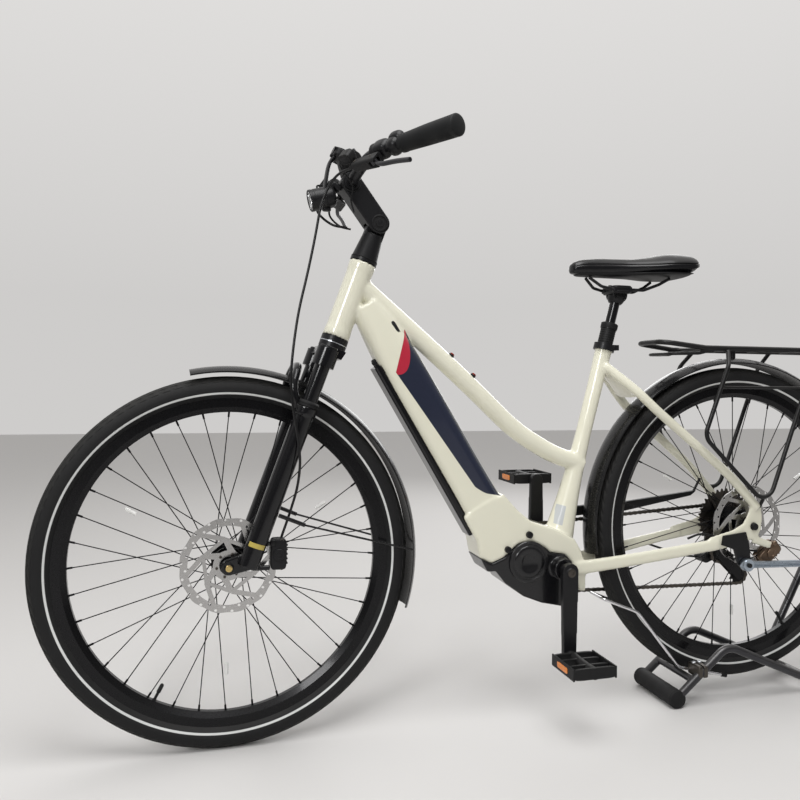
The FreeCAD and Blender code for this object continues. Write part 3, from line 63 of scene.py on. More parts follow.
class Tree:
    """Adds nodes to a tree, with inputs given by name or number and linked or set as they are."""

    def __init__(self, owner):
        """The owner is the node tree of a material or a world."""
        self.owner = owner

    def join(self, source, socket):
        """Links an output to the socket, or sets the socket to a plain value."""
        if isinstance(source, bpy.types.NodeSocket):
            self.owner.links.new(source, socket)
        else:
            socket.default_value = source

    def add(self, kind, operation=None, numbered=None, **named):
        """A new node; an underscore in an input's name stands for a space."""
        node = self.owner.nodes.new(kind)
        if operation:
            node.operation = operation
        for key, source in {**(numbered or {}), **named}.items():
            self.join(source, node.inputs[key if isinstance(key, int) else key.replace("_", " ")])
        return node

    def sum(self, one, other):
        """The output of one + other."""
        return self.add("ShaderNodeMath", "ADD", {0: one, 1: other}).outputs[0]

    def times(self, one, other):
        """The output of one * other."""
        return self.add("ShaderNodeMath", "MULTIPLY", {0: one, 1: other}).outputs[0]

    def step(self, amount, low, high):
        """0 below low, 1 above high, a straight ramp between."""
        node = self.add("ShaderNodeMapRange", Value=amount)
        node.inputs["From Min"].default_value = low
        node.inputs["From Max"].default_value = high
        return node.outputs["Result"]

    def blend(self, share, one, other):
        """The colour one where share is 0 and other where it is 1."""
        node = self.owner.nodes.new("ShaderNodeMix")
        node.data_type = "RGBA"
        self.join(share, node.inputs["Factor"])
        self.join(one, node.inputs["A"])
        self.join(other, node.inputs["B"])
        return next(socket for socket in node.outputs if socket.type == "RGBA" and socket.enabled)


def lamp(name, place, aim, size, power):
    """A square area lamp that looks from place to aim."""
    data = bpy.data.lights.new(name, "AREA")
    data.shape = "SQUARE"
    data.size = size
    data.energy = power
    light = bpy.data.objects.new(name, data)
    bpy.context.scene.collection.objects.link(light)
    light.location = place
    light.rotation_euler = (Vector(aim) - Vector(place)).to_track_quat("-Z", "Y").to_euler()


lamp("lamp_above", (-0.2, -1.0, 3.0), (0, 0, 0.4), 1.8, 60)
lamp("lamp_left", (-2.4, -2.6, 2.2), (0, 0, 0.6), 1.0, 50)
lamp("lamp_behind", (1.6, 2.6, 2.0), (0, 0, 0.6), 1.8, 26)

world = bpy.data.worlds.new("room")
bpy.context.scene.world = world
world.use_nodes = True
world_tree = Tree(world.node_tree)
look = world_tree.add("ShaderNodeSeparateXYZ",
                      Vector=world_tree.add("ShaderNodeTexCoord").outputs["Generated"])
depth = world_tree.add("ShaderNodeMapRange", Value=look.outputs["Y"], From_Min=-0.5, From_Max=0.45,
                       To_Min=0.20, To_Max=0.98)
height = world_tree.add("ShaderNodeMapRange", Value=look.outputs["Z"], From_Min=0.1, From_Max=0.9,
                        To_Min=0.0, To_Max=0.45)
room_shader = world.node_tree.nodes["Background"]
room_shader.inputs["Color"].default_value = ROOM_COLOUR
seen = world_tree.times(world_tree.add("ShaderNodeLightPath").outputs["Is Camera Ray"], ROOM_STRENGTH_SEEN)
shaded = world_tree.sum(depth.outputs["Result"], height.outputs["Result"])
world_tree.join(world_tree.add("ShaderNodeMath", "MAXIMUM", {0: seen, 1: shaded}).outputs[0],
                room_shader.inputs["Strength"])
bpy.context.scene.view_settings.view_transform = "Standard"

floor_mesh = bpy.data.meshes.new("floor")
floor_mesh.from_pydata([(x * FLOOR_REACH, y * FLOOR_REACH, 0) for x, y in ((-1, -1), (1, -1), (1, 1), (-1, 1))],
                       [], [(0, 1, 2, 3)])
floor = bpy.data.objects.new("floor", floor_mesh)
bpy.context.scene.collection.objects.link(floor)
floor_material = bpy.data.materials.new("floor_paint")
floor_material.use_nodes = True
floor_shader = floor_material.node_tree.nodes["Principled BSDF"]
floor_shader.inputs["Base Color"].default_value = FLOOR_COLOUR
floor_shader.inputs["Roughness"].default_value = 0.7
floor_mesh.materials.append(floor_material)

# The camera stands at the bicycle's left, just ahead of the front axle and as high as the
# wheels' tops, and looks a little to the rear.
camera_data = bpy.data.cameras.new("camera")
camera_data.sensor_width = 36
camera_data.lens = 34.65
camera_data.shift_x = -0.0116
camera_data.shift_y = -0.0277
camera = bpy.data.objects.new("camera", camera_data)
bpy.context.scene.collection.objects.link(camera)
bpy.context.scene.camera = camera
yaw, pitch, roll = (math.radians(turn) for turn in (15.63, 0.30, 0.59))
level_right = Vector((math.cos(yaw), -math.sin(yaw), 0))
ahead = Vector((math.sin(yaw) * math.cos(pitch), math.cos(yaw) * math.cos(pitch), math.sin(pitch)))
level_up = level_right.cross(ahead)
camera_right = math.cos(roll) * level_right + math.sin(roll) * level_up
camera_up = math.cos(roll) * level_up - math.sin(roll) * level_right
stance = Matrix((camera_right, camera_up, -ahead)).transposed().to_4x4()
stance.translation = (-0.6697, -1.52674, 0.70468)
camera.matrix_world = stance


# ---- paint, plastic and metal ------------------------------------------------------
# Every finish is a plain base with the unevenness of its own process over it: a slow
# drift of shade, a fine grain that breaks the gloss, and dust that settles on top.

def finish_group():
    """Colour drifts with a slow noise, grain is a fine noise, and dust lies where the face looks up."""
    group = bpy.data.node_groups.new("finish", "ShaderNodeTree")
    for name, kind, default in (("Colour", "NodeSocketColor", (0.5, 0.5, 0.5, 1)),
                                ("Dust", "NodeSocketFloat", 0.05), ("Roughness", "NodeSocketFloat", 0.4),
                                ("Grain Size", "NodeSocketFloat", 900.0),
                                ("Grain Depth", "NodeSocketFloat", 0.1),
                                ("Drift", "NodeSocketFloat", 0.1)):
        group.interface.new_socket(name, in_out="INPUT", socket_type=kind).default_value = default
    for name, kind in (("Colour", "NodeSocketColor"), ("Roughness", "NodeSocketFloat"),
                       ("Normal", "NodeSocketVector")):
        group.interface.new_socket(name, in_out="OUTPUT", socket_type=kind)
    tree = Tree(group)
    given = tree.add("NodeGroupInput")
    place = tree.add("ShaderNodeTexCoord").outputs["Object"]
    slow = tree.add("ShaderNodeTexNoise", Vector=place, Scale=14.0, Detail=4.0).outputs["Fac"]
    fine = tree.add("ShaderNodeTexNoise", Vector=place, Scale=given.outputs["Grain Size"],
                    Detail=3.0).outputs["Fac"]
    drift = tree.sum(1, tree.times(tree.sum(slow, -0.5), given.outputs["Drift"]))
    drifted = tree.add("ShaderNodeVectorMath", "SCALE", {0: given.outputs["Colour"]}, Scale=drift)
    upward = tree.add("ShaderNodeSeparateXYZ", Vector=tree.add("ShaderNodeNewGeometry").outputs["Normal"])
    lying = tree.times(tree.add("ShaderNodeMath", "MAXIMUM", {0: upward.outputs["Z"], 1: 0.0}).outputs[0],
                       tree.times(given.outputs["Dust"], slow))
    dusty = tree.blend(lying, drifted.outputs[0], (0.46, 0.44, 0.41, 1))
    rough = tree.sum(given.outputs["Roughness"], tree.times(tree.sum(fine, -0.5), given.outputs["Drift"]))
    bump = tree.add("ShaderNodeBump", Height=fine, Strength=given.outputs["Grain Depth"], Distance=0.0004)
    result = tree.add("NodeGroupOutput")
    tree.join(dusty, result.inputs["Colour"])
    tree.join(tree.sum(rough, tree.times(lying, 0.6)), result.inputs["Roughness"])
    tree.join(bump.outputs["Normal"], result.inputs["Normal"])
    return group


finish_nodes = finish_group()


def worked_material(name, colour, roughness, metallic=0.0, coat=0.0, grain=(900.0, 0.1), drift=0.12,
                    dust=0.03, gloss=0.25):
    """A Principled surface whose colour, roughness and normal come through the finish group.

    Returns the material, its tree and the finish node, so that a section can add to them.
    """
    made = bpy.data.materials.new(name)
    made.use_nodes = True
    made.diffuse_color = (*colour, 1)
    tree = Tree(made.node_tree)
    shader = made.node_tree.nodes["Principled BSDF"]
    worn = tree.add("ShaderNodeGroup")
    worn.node_tree = finish_nodes
    worn.inputs["Colour"].default_value = (*colour, 1)
    worn.inputs["Roughness"].default_value = roughness
    worn.inputs["Grain Size"].default_value, worn.inputs["Grain Depth"].default_value = grain
    worn.inputs["Drift"].default_value = drift
    worn.inputs["Dust"].default_value = dust
    tree.join(worn.outputs["Colour"], shader.inputs["Base Color"])
    tree.join(worn.outputs["Roughness"], shader.inputs["Roughness"])
    tree.join(worn.outputs["Normal"], shader.inputs["Normal"])
    shader.inputs["Metallic"].default_value = metallic
    shader.inputs["Specular IOR Level"].default_value = gloss
    shader.inputs["Coat Weight"].default_value = coat
    shader.inputs["Coat Roughness"].default_value = 0.08
    return made, tree, worn


def material(*values, **named):
    """The same surface where nothing more is joined to it."""
    return worked_material(*values, **named)[0]


def dress(made, *names):
    """Puts one material on CAD nodes whose shape stays."""
    for name in names:
        mesh = nodes[name].data
        mesh.materials.clear()
        mesh.materials.append(made)


black_satin = material("black_satin_paint", (0.0065, 0.0065, 0.0075), 0.40, 0.0, 0.05, (700.0, 0.12))
black_gloss = material("black_gloss_paint", (0.0045, 0.0045, 0.0055), 0.15, 0.0, 0.25, (300.0, 0.03))
black_plastic = material("black_moulded_plastic", (0.0075, 0.0075, 0.008), 0.5, 0.0, 0.0, (1600.0, 0.3))
black_rubber = material("black_rubber", (0.008, 0.008, 0.0085), 0.65, 0.0, 0.0, (1200.0, 0.35))
bare_silver = material("bare_silver_alloy", (0.62, 0.64, 0.67), 0.33, 1.0, 0.0, (500.0, 0.1))
dark_steel = material("dark_oiled_steel", (0.10, 0.09, 0.08), 0.42, 1.0, 0.0, (700.0, 0.25), 0.6)


# ---- surfaces ----------------------------------------------------------------------
# All new pieces are grids of points: rows run one way over the surface and columns the
# other, and either way may close on itself.

def grid_faces(rows, columns, close_rows, close_columns):
    """Quads between neighbouring points, wrapping where the surface closes."""
    row = np.arange(rows if close_rows else rows - 1)
    column = np.arange(columns if close_columns else columns - 1)
    r, c = np.meshgrid(row, column, indexing="ij")
    r2, c2 = (r + 1) % rows, (c + 1) % columns
    corners = (r * columns + c, r * columns + c2, r2 * columns + c2, r2 * columns + c)
    return np.stack(corners, axis=-1).reshape(-1, 4)


def build_mesh(name, points, faces, smooth=True):
    """A mesh straight from arrays: points (n, 3) and faces of equal corner count."""
    mesh = bpy.data.meshes.new(name)
    corners = faces.shape[1]
    mesh.vertices.add(len(points))
    mesh.vertices.foreach_set("co", np.ascontiguousarray(points, np.float32).ravel())
    mesh.loops.add(faces.size)
    mesh.loops.foreach_set("vertex_index", faces.ravel().astype(np.int32))
    mesh.polygons.add(len(faces))
    mesh.polygons.foreach_set("loop_start", np.arange(0, faces.size, corners, dtype=np.int32))
    mesh.polygons.foreach_set("use_smooth", np.full(len(faces), smooth))
    mesh.update()
    mesh.validate()
    if smooth:
        mesh.set_sharp_from_angle(angle=math.radians(38))
    return mesh


def place_piece(name, shape, body, made, stands_for=()):
    """Links a mesh, or points and faces, as a piece on a body, and hides the CAD nodes it stands for."""
    mesh = build_mesh(name, *shape) if isinstance(shape, tuple) else shape
    piece = bpy.data.objects.new(name, mesh)
    bpy.context.scene.collection.objects.link(piece)
    mesh.materials.append(made)
    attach(piece, body)
    if stands_for:
        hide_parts(*stands_for)
    return piece


def sheet_points(points, close_rows=False, close_columns=False):
    """A grid of points as one list, with the faces between them."""
    rows, columns = points.shape[:2]
    return points.reshape(-1, 3), grid_faces(rows, columns, close_rows, close_columns)


def facing_out(points, faces):
    """Turns the faces round if they look inwards: the volume they enclose has to be positive."""
    spot = points - points.mean(axis=0)
    first, second, third, fourth = (spot[faces[:, corner]] for corner in range(4))
    volume = (first * (np.cross(second, third) + np.cross(third, fourth))).sum()
    return points, faces if volume > 0 else faces[:, ::-1]


def together(parts):
    """Several (points, faces) shapes as one."""
    offset = 0
    all_points, all_faces = [], []
    for points, faces in parts:
        all_points.append(points)
        all_faces.append(faces + offset)
        offset += len(points)
    return np.concatenate(all_points), np.concatenate(all_faces)


def basis(axis):
    """Two unit directions square to an axis."""
    axis = np.asarray(axis, float) / np.linalg.norm(axis)
    helper = np.array((0, 0, 1.0)) if abs(axis[2]) < 0.9 else np.array((1.0, 0, 0))
    first = np.cross(helper, axis)
    first /= np.linalg.norm(first)
    return axis, first, np.cross(axis, first)


def spun(profile, centre, axis, count=48, wave=None):
    """A surface of revolution: profile rows are (place along the axis, radius).

    wave, if given, multiplies the radius by an array of count shares round the turn.
    """
    axis, first, second = basis(axis)
    profile = np.asarray(profile, float)
    angle = np.linspace(0, 2 * np.pi, count, endpoint=False)
    share = np.ones(count) if wave is None else wave
    radial = np.cos(angle)[:, None] * first + np.sin(angle)[:, None] * second
    along = profile[:, 0][:, None, None] * axis
    out = (profile[:, 1][:, None] * share)[:, :, None] * radial
    return facing_out(*sheet_points(np.asarray(centre) + along + out, close_columns=True))


def swept(path, section, up=(0, 1, 0), closed=False, scale=None):
    """A closed section (x, y) carried along a path; x lies along up, y square to up and path."""
    path = np.asarray(path, float)
    if closed:
        ahead_of = np.roll(path, -1, 0) - np.roll(path, 1, 0)
    else:
        ahead_of = np.gradient(path, axis=0)
    ahead_of /= np.linalg.norm(ahead_of, axis=1)[:, None]
    side = np.asarray(up, float) - (ahead_of @ np.asarray(up, float))[:, None] * ahead_of
    side /= np.linalg.norm(side, axis=1)[:, None]
    other = np.cross(ahead_of, side)
    section = np.asarray(section, float)
    size = np.ones(len(path)) if scale is None else np.asarray(scale, float)
    points = (path[:, None] + size[:, None, None] * (section[None, :, 0, None] * side[:, None]
              + section[None, :, 1, None] * other[:, None]))
    if not closed:
        ends = points.mean(axis=1, keepdims=True).repeat(points.shape[1], axis=1)
        points = np.concatenate((ends[:1], points, ends[-1:]))
    return facing_out(*sheet_points(points, closed, True))


def round_section(radius, count=12):
    """A circle of count points as a section to sweep."""
    angle = np.linspace(0, 2 * np.pi, count, endpoint=False)
    return np.stack((radius * np.cos(angle), radius * np.sin(angle)), axis=1)


def smooth_path(points, count):
    """A Catmull-Rom curve through the points, sampled evenly in its parameter."""
    points = np.asarray(points, float)
    spread = np.concatenate((2 * points[:1] - points[1:2], points, 2 * points[-1:] - points[-2:-1]))
    place = np.linspace(0, len(points) - 1, count)
    first = np.minimum(place.astype(int), len(points) - 2)
    t = (place - first)[:, None]
    a, b, c, d = (spread[first + shift] for shift in range(4))
    square, cube = 2 * a - 5 * b + 4 * c - d, 3 * b - a - 3 * c + d
    return 0.5 * (2 * b + (c - a) * t + square * t ** 2 + cube * t ** 3)


# ---- tyres -------------------------------------------------------------------------
# Black touring tyres: a tread of slanted blocks cut by two grooves, plain sidewalls and
# a thin pale reflective line moulded round each side just above the rim.

TYRE_RADIUS = 0.356
TYRE_HALF_WIDTH = 0.0235
TREAD_PITCHES = 96


def tyre_mesh(name, centre):
    """A ring whose section is a circle open at the rim; the tread rises and sinks by 1 mm in a
    repeating block pattern of slanted sipes either side of a centre rib."""
    round_count = TREAD_PITCHES * 8
    turn = np.linspace(0, 2 * np.pi, round_count, endpoint=False)
    lean = np.radians(np.concatenate((np.linspace(-148, -62, 12), np.linspace(-58, 58, 47),
                                      np.linspace(62, 148, 12))))
    t, s = np.meshgrid(turn, lean, indexing="ij")
    across = np.degrees(s)
    pitch_place = (t * TREAD_PITCHES / (2 * np.pi) + np.abs(across) / 30.0) % 1.0
    in_tread = np.abs(across) < 57
    groove = (np.abs(np.abs(across) - 13) < 2.6) | (np.abs(np.abs(across) - 36) < 2.2)
    sipe = (pitch_place < 0.24) & (np.abs(across) > 14)
    notch = (pitch_place < 0.12) & (np.abs(across) < 10)
    sunk = np.where(in_tread & (groove | sipe | notch), 0.0012, 0.0)
    edge_step = np.where(in_tread, 0.0, 0.0009)
    section = TYRE_HALF_WIDTH - sunk - edge_step
    middle = TYRE_RADIUS - TYRE_HALF_WIDTH
    radius = middle + section * np.cos(s)
    points = np.stack((radius * np.sin(t), section * np.sin(s), radius * np.cos(t)), axis=-1)
    outer, faces = sheet_points(points + np.asarray(centre), close_rows=True)
    inner_lean = np.radians(np.linspace(148, -148, 14))
    t, s = np.meshgrid(turn[::8], inner_lean, indexing="ij")
    wall = TYRE_HALF_WIDTH - 0.0036
    radius = middle + wall * np.cos(s)
    points = np.stack((radius * np.sin(t), wall * np.sin(s), radius * np.cos(t)), axis=-1)
    mesh = build_mesh(name, *together(((outer, faces[:, ::-1]),
                                       tuple(sheet_points(points + np.asarray(centre), close_rows=True)))))
    return mesh


def tyre_material(name, centre):
    """Black rubber; the pale line and the smoother bands follow the distance from the axle."""
    made, tree, worn = worked_material(name, (0.0085, 0.0085, 0.009), 0.62, 0.0, 0.0, (900.0, 0.4), 0.3,
                                       0.06)
    place = tree.add("ShaderNodeTexCoord").outputs["Object"]
    local = tree.add("ShaderNodeMapping", Vector=place, Location=tuple(-value for value in centre))
    split = tree.add("ShaderNodeSeparateXYZ", Vector=local.outputs[0])
    flat = tree.add("ShaderNodeCombineXYZ", X=split.outputs["X"], Z=split.outputs["Z"])
    radius = tree.add("ShaderNodeVectorMath", "LENGTH", {0: flat.outputs[0]}).outputs["Value"]
    sidewise = tree.add("ShaderNodeMath", "ABSOLUTE", {0: split.outputs["Y"]}).outputs[0]
    line = tree.times(tree.times(tree.step(radius, 0.3213, 0.3218), tree.step(radius, 0.3256, 0.3251)),
                      tree.step(sidewise, 0.012, 0.0125))
    tread = tree.step(radius, 0.344, 0.347)
    shade = tree.blend(tread, (0.0085, 0.0085, 0.009, 1), (0.013, 0.013, 0.0125, 1))
    tree.join(tree.blend(line, shade, (0.62, 0.63, 0.62, 1)), worn.inputs["Colour"])
    rings = tree.add("ShaderNodeMath", "SINE", {0: tree.times(radius, 5200.0)}).outputs[0]
    ribbed = tree.add("ShaderNodeBump", Height=tree.times(rings, tree.step(radius, 0.343, 0.341)),
                      Normal=worn.outputs["Normal"], Strength=0.25, Distance=0.0003)
    shader = made.node_tree.nodes["Principled BSDF"]
    tree.join(ribbed.outputs["Normal"], shader.inputs["Normal"])
    return made


wheel_centre = {"front": np.array(joints["front_wheel_spin"]["pos_m"]),
                "rear": np.array(joints["rear_wheel_spin"]["pos_m"])}
for end, centre in wheel_centre.items():
    place_piece(end + "_tyre_tread", tyre_mesh(end + "_tyre_tread", centre), end + "_wheel",
                tyre_material(end + "_tyre_rubber", centre), [end + "_tyre"])


# ---- rims, spokes and hubs ---------------------------------------------------------
# Black anodised channel rims with a bright-turned edge, black spokes, black hub shells.
# A brass valve with a black cap stands at the joint of each rim, and each wheel carries
# two small clear reflectors clipped on its spokes.

rim_paint = material("black_anodised_rim", (0.006, 0.006, 0.007), 0.28, 0.6, 0.2, (500.0, 0.08))
dress(rim_paint, "front_rim", "rear_rim")
dress(material("black_coated_spoke", (0.006, 0.006, 0.007), 0.32, 0.7, 0.0, (800.0, 0.1)),
      "front_spokes", "rear_spokes")
dress(material("black_anodised_hub", (0.008, 0.008, 0.009), 0.28, 0.6, 0.1, (600.0, 0.08)),
      "front_hub", "rear_hub")
dress(black_satin, "front_axle", "rear_axle")


def around(centre, radius, degrees, y=0.0):
    """A point of a wheel, by its angle counted from the top towards the rear."""
    turn = math.radians(degrees)
    return np.asarray(centre) + (radius * math.sin(turn), y, radius * math.cos(turn))


def valve(centre, degrees):
    """A threaded stem, its nut and a domed cap, all turned on the line to the axle."""
    root = around(centre, 0.2872, degrees)
    inward = (np.asarray(centre) - root) / 0.2872
    profile = [(0, 0.0001), (0, 0.0042), (0.002, 0.0042), (0.0022, 0.0028), (0.016, 0.0028),
               (0.0162, 0.004), (0.030, 0.0038), (0.0325, 0.0025), (0.033, 0.0001)]
    return spun(profile, root, inward, 16)


reflector_clear = material("clear_reflector", (0.72, 0.72, 0.70), 0.18, 0.0, 0.6, (260.0, 0.5))
for end, degrees in (("front", 207.3), ("rear", 150.0)):
    centre = wheel_centre[end]
    place_piece(end + "_valve", valve(centre, degrees), end + "_wheel", black_rubber)


def spoke_reflector(centre, degrees, y):
    """A short ribbed sleeve snapped on a spoke."""
    middle = around(centre, 0.205, degrees, y)
    outward = around((0, 0, 0), 1.0, degrees)
    length = np.linspace(-0.011, 0.011, 12)
    radius = 0.0034 + 0.0004 * (np.arange(12) % 2)
    profile = [(-0.0112, 0.0012)] + list(zip(length, radius)) + [(0.0112, 0.0012)]
    return spun(profile, middle, outward, 12)


for end, centre, spots in (("front", wheel_centre["front"], (60, 180, 300)),
                           ("rear", wheel_centre["rear"], (301, 61, 181))):
    clips = together([spoke_reflector(centre, degrees, -0.0065) for degrees in spots])
    place_piece(end + "_spoke_reflectors", clips, end + "_wheel", reflector_clear)


# ---- brake rotors ------------------------------------------------------------------
# Bright steel discs: a wavy friction band drilled with staggered holes, held on slanted
# two-legged arms by six bolts at the hub.

ROTOR_OUTER = 0.090
ROTOR_INNER = 0.0745
ROTOR_HALF = 0.0009
DRILL_CELLS = 36


def rotor_band(place_y, centre):
    """Each cell of the band is a flat frame between its four-sided border and a round hole; the
    outer border waves a little, and every second hole sits nearer the rim."""
    corner_count = 16
    turn = np.linspace(0, 2 * np.pi, corner_count, endpoint=False) + np.pi / 4
    square = np.stack((np.cos(turn), np.sin(turn)), axis=1)
    square /= np.abs(square).max(axis=1)[:, None]
    cell = np.arange(DRILL_CELLS * 2)
    row = cell % 2
    column = cell // 2
    step = 2 * np.pi / DRILL_CELLS
    middle_turn = (column + 0.5) * step
    low = np.where(row == 0, ROTOR_INNER, (ROTOR_INNER + ROTOR_OUTER) / 2)
    high = np.where(row == 0, (ROTOR_INNER + ROTOR_OUTER) / 2, ROTOR_OUTER)
    border_turn = middle_turn[:, None] + square[None, :, 0] * step / 2
    border_radius = (low + high)[:, None] / 2 + square[None, :, 1] * (high - low)[:, None] / 2
    on_rim = border_radius > ROTOR_OUTER - 1e-6
    waved = border_radius * (1 - 0.012 * (1 + np.cos(12 * border_turn)) * on_rim)
    drilled = (row + column) % 2 == 0
    hole = np.where(drilled, 0.0026, 0.00002)
    round_x, round_z = np.cos(turn), np.sin(turn)
    hole_turn = middle_turn[:, None] + round_x[None] * hole[:, None] / 0.082
    hole_radius = (low + high)[:, None] / 2 + round_z[None] * hole[:, None]
    rings = []
    for y, pair in ((-ROTOR_HALF, (waved, border_turn)), (-ROTOR_HALF, (hole_radius, hole_turn)),
                    (ROTOR_HALF, (hole_radius, hole_turn)), (ROTOR_HALF, (waved, border_turn))):
        radius, angle = pair
        rings.append(np.stack((radius * np.sin(angle), np.full_like(radius, place_y + y),
                               radius * np.cos(angle)), axis=-1))
    points = np.stack(rings, axis=1) + np.asarray(centre)
    faces = grid_faces(4, corner_count, True, True)
    offsets = np.arange(len(cell))[:, None, None] * (4 * corner_count)
    return facing_out(points.reshape(-1, 3), (faces[None] + offsets).reshape(-1, 4))


def flat_bar(start, end, start_half, end_half, place_y, half_thick):
    """A straight tapered flat bar in a wheel's plane, between two points (x, z)."""
    start, end = np.asarray(start, float), np.asarray(end, float)
    along = (end - start) / np.linalg.norm(end - start)
    side = np.array((-along[1], along[0]))
    ring = np.array((start + side * start_half, end + side * end_half, end - side * end_half,
                     start - side * start_half))
    low = np.insert(ring, 1, place_y - half_thick, axis=1)
    high = np.insert(ring, 1, place_y + half_thick, axis=1)
    points = np.concatenate((low, high))
    faces = np.array(((0, 1, 2, 3), (7, 6, 5, 4), (0, 4, 5, 1), (1, 5, 6, 2), (2, 6, 7, 3), (3, 7, 4, 0)))
    return facing_out(points, faces)


def polar(radius, degrees):
    """Offsets along x and z at an angle that is counted from straight up."""
    turn = math.radians(degrees)
    return radius * math.sin(turn), radius * math.cos(turn)


def rotor_arms(place_y, centre):
    """Six arms: each leaves its bolt lug, runs slanting to the band and sends a bridge to the next."""
    parts = []
    for number in range(6):
        base = number * 60 + 18
        lug, knee, foot = polar(0.024, base), polar(0.050, base - 26), polar(0.0765, base - 58)
        bridge = polar(0.050, base + 34)
        parts.append(flat_bar(lug, knee, 0.0062, 0.0044, place_y, ROTOR_HALF * 0.97))
        parts.append(flat_bar(knee, foot, 0.0044, 0.0042, place_y, ROTOR_HALF * 0.93))
        parts.append(flat_bar(bridge, knee, 0.0032, 0.0036, place_y, ROTOR_HALF * 0.85))
        parts.append(flat_bar(polar(0.024, base + 60), bridge, 0.0056, 0.0036, place_y, ROTOR_HALF * 0.89))
    points, faces = together(parts)
    return points + np.asarray(centre), faces


def rotor_hub(place_y, centre):
    """The flat ring that the six bolts hold to the hub."""
    ring = [(-ROTOR_HALF, 0.0165), (-ROTOR_HALF, 0.0285), (ROTOR_HALF, 0.0285), (ROTOR_HALF, 0.0165),
            (-ROTOR_HALF, 0.0165)]
    return spun(ring, np.asarray(centre) + (0, place_y, 0), (0, 1, 0), 48)


rotor_steel = material("brushed_rotor_steel", (0.43, 0.425, 0.42), 0.24, 1.0, 0.0, (500.0, 0.1), 0.25)
for end, centre in wheel_centre.items():
    low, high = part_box(end + "_rotor")
    place_y = (low.y + high.y) / 2
    disc = together((rotor_band(place_y, centre), rotor_arms(place_y, centre), rotor_hub(place_y, centre)))
    place_piece(end + "_rotor_disc", build_mesh(end + "_rotor_disc", *disc, False), end + "_wheel",
                rotor_steel, [end + "_rotor"])
    heads = []
    for number in range(6):
        x, z = polar(0.022, number * 60 + 18)
        head = [(0, 0.0026), (-0.0018, 0.0026), (-0.0022, 0.0020), (-0.0022, 0.0012), (-0.0012, 0.0010),
                (-0.0012, 0.0001)]
        heads.append(spun(head, np.asarray(centre) + (x, place_y - ROTOR_HALF, z), (0, 1, 0), 12))
    place_piece(end + "_rotor_bolts", together(heads), end + "_wheel", dark_steel)


# ---- cast and welded shapes --------------------------------------------------------
# Castings, forgings and welds have no sharp inside corners. Such a piece starts as its
# plain solids, is wrapped in one skin and relaxed, which fills every corner a little.

def skin_of(name, cad_names, voxel, rounds, cores=()):
    """One closed mesh round several CAD nodes: their points are merged, wrapped on a grid of
    voxel size, then each point moves to the mean of its neighbours, rounds times.
    Cores are quad shapes that fill thin-walled tubes, so that the wrap keeps to the outside."""
    points, faces, offset = [], [], 0
    for cad_name in cad_names:
        mesh = nodes[cad_name].data
        place = np.zeros(len(mesh.vertices) * 3, np.float32)
        mesh.vertices.foreach_get("co", place)
        mesh.calc_loop_triangles()
        corners = np.zeros(len(mesh.loop_triangles) * 3, np.int32)
        mesh.loop_triangles.foreach_get("vertices", corners)
        points.append(place.reshape(-1, 3))
        faces.append(corners.reshape(-1, 3) + offset)
        offset += len(mesh.vertices)
    for core_points, core_faces in cores:
        points.append(core_points)
        faces.append(core_faces[:, (0, 1, 2)] + offset)
        faces.append(core_faces[:, (0, 2, 3)] + offset)
        offset += len(core_points)
    points, faces = np.concatenate(points), np.concatenate(faces)
    keys, index = np.unique(np.round(points * 1e6).astype(np.int64), axis=0, return_inverse=True)
    raw = build_mesh(name + "_raw", keys / 1e6, index.ravel()[faces])
    shell = bpy.data.objects.new(name + "_raw", raw)
    bpy.context.scene.collection.objects.link(shell)
    wrap = shell.modifiers.new("wrap", "REMESH")
    wrap.mode = "VOXEL"
    wrap.voxel_size = voxel
    wrap.use_smooth_shade = True
    relax = shell.modifiers.new("relax", "SMOOTH")
    relax.factor = 0.5
    relax.iterations = rounds
    bpy.context.view_layer.update()
    skin = bpy.data.meshes.new_from_object(shell.evaluated_get(bpy.context.evaluated_depsgraph_get()))
    skin.name = name
    bpy.data.objects.remove(shell)
    skin.materials.clear()
    return skin


def place_skin(name, body, made, cad_names, voxel, rounds, cores=()):
    """Places the skin of some CAD nodes in their stead."""
    return place_piece(name, skin_of(name, cad_names, voxel, rounds, cores), body, made, cad_names)


def lump(centre, axes, halves, power=0.4, rows=18, columns=28):
    """A rounded block: a ball whose three directions are flattened by a power below 1."""
    lat = np.linspace(-np.pi / 2 + 1e-4, np.pi / 2 - 1e-4, rows)
    turn = np.linspace(0, 2 * np.pi, columns, endpoint=False)
    u, v = np.meshgrid(lat, turn, indexing="ij")

    def flat(amount):
        """The amount to the block's power, with its sign kept."""
        return np.sign(amount) * np.abs(amount) ** power
    local = np.stack((flat(np.cos(u)) * flat(np.cos(v)) * halves[0],
                      flat(np.cos(u)) * flat(np.sin(v)) * halves[1], flat(np.sin(u)) * halves[2]), axis=-1)
    points = np.asarray(centre) + local @ np.asarray(axes, float)
    return facing_out(*sheet_points(points, close_columns=True))


def bolt_head(place, axis, radius, height, hollow=0.5):
    """A round socket head: a bevelled cylinder with a hexagonal recess."""
    profile = [(0, radius), (height * 0.8, radius), (height, radius * 0.85), (height, radius * hollow),
               (height * 0.45, radius * hollow * 0.95), (height * 0.45, 0.0001)]
    return spun(profile, place, axis, 24)


# ---- fork --------------------------------------------------------------------------
# A black sprung fork: gloss sliding legs with ribbed wiper seals, a gloss crown with a
# turned cap on each leg, and a wide axle end. A plain yellow foil lies on the left leg.

steer_axis = np.array(joints["steering"]["axis"])
steer_back = np.array((steer_axis[2], 0, -steer_axis[0]))
LEG_SETBACK = 0.032
LEG_HALF_SPACING = 0.065
LOWER_TOP = 0.3295
CROWN_RACE = 0.455


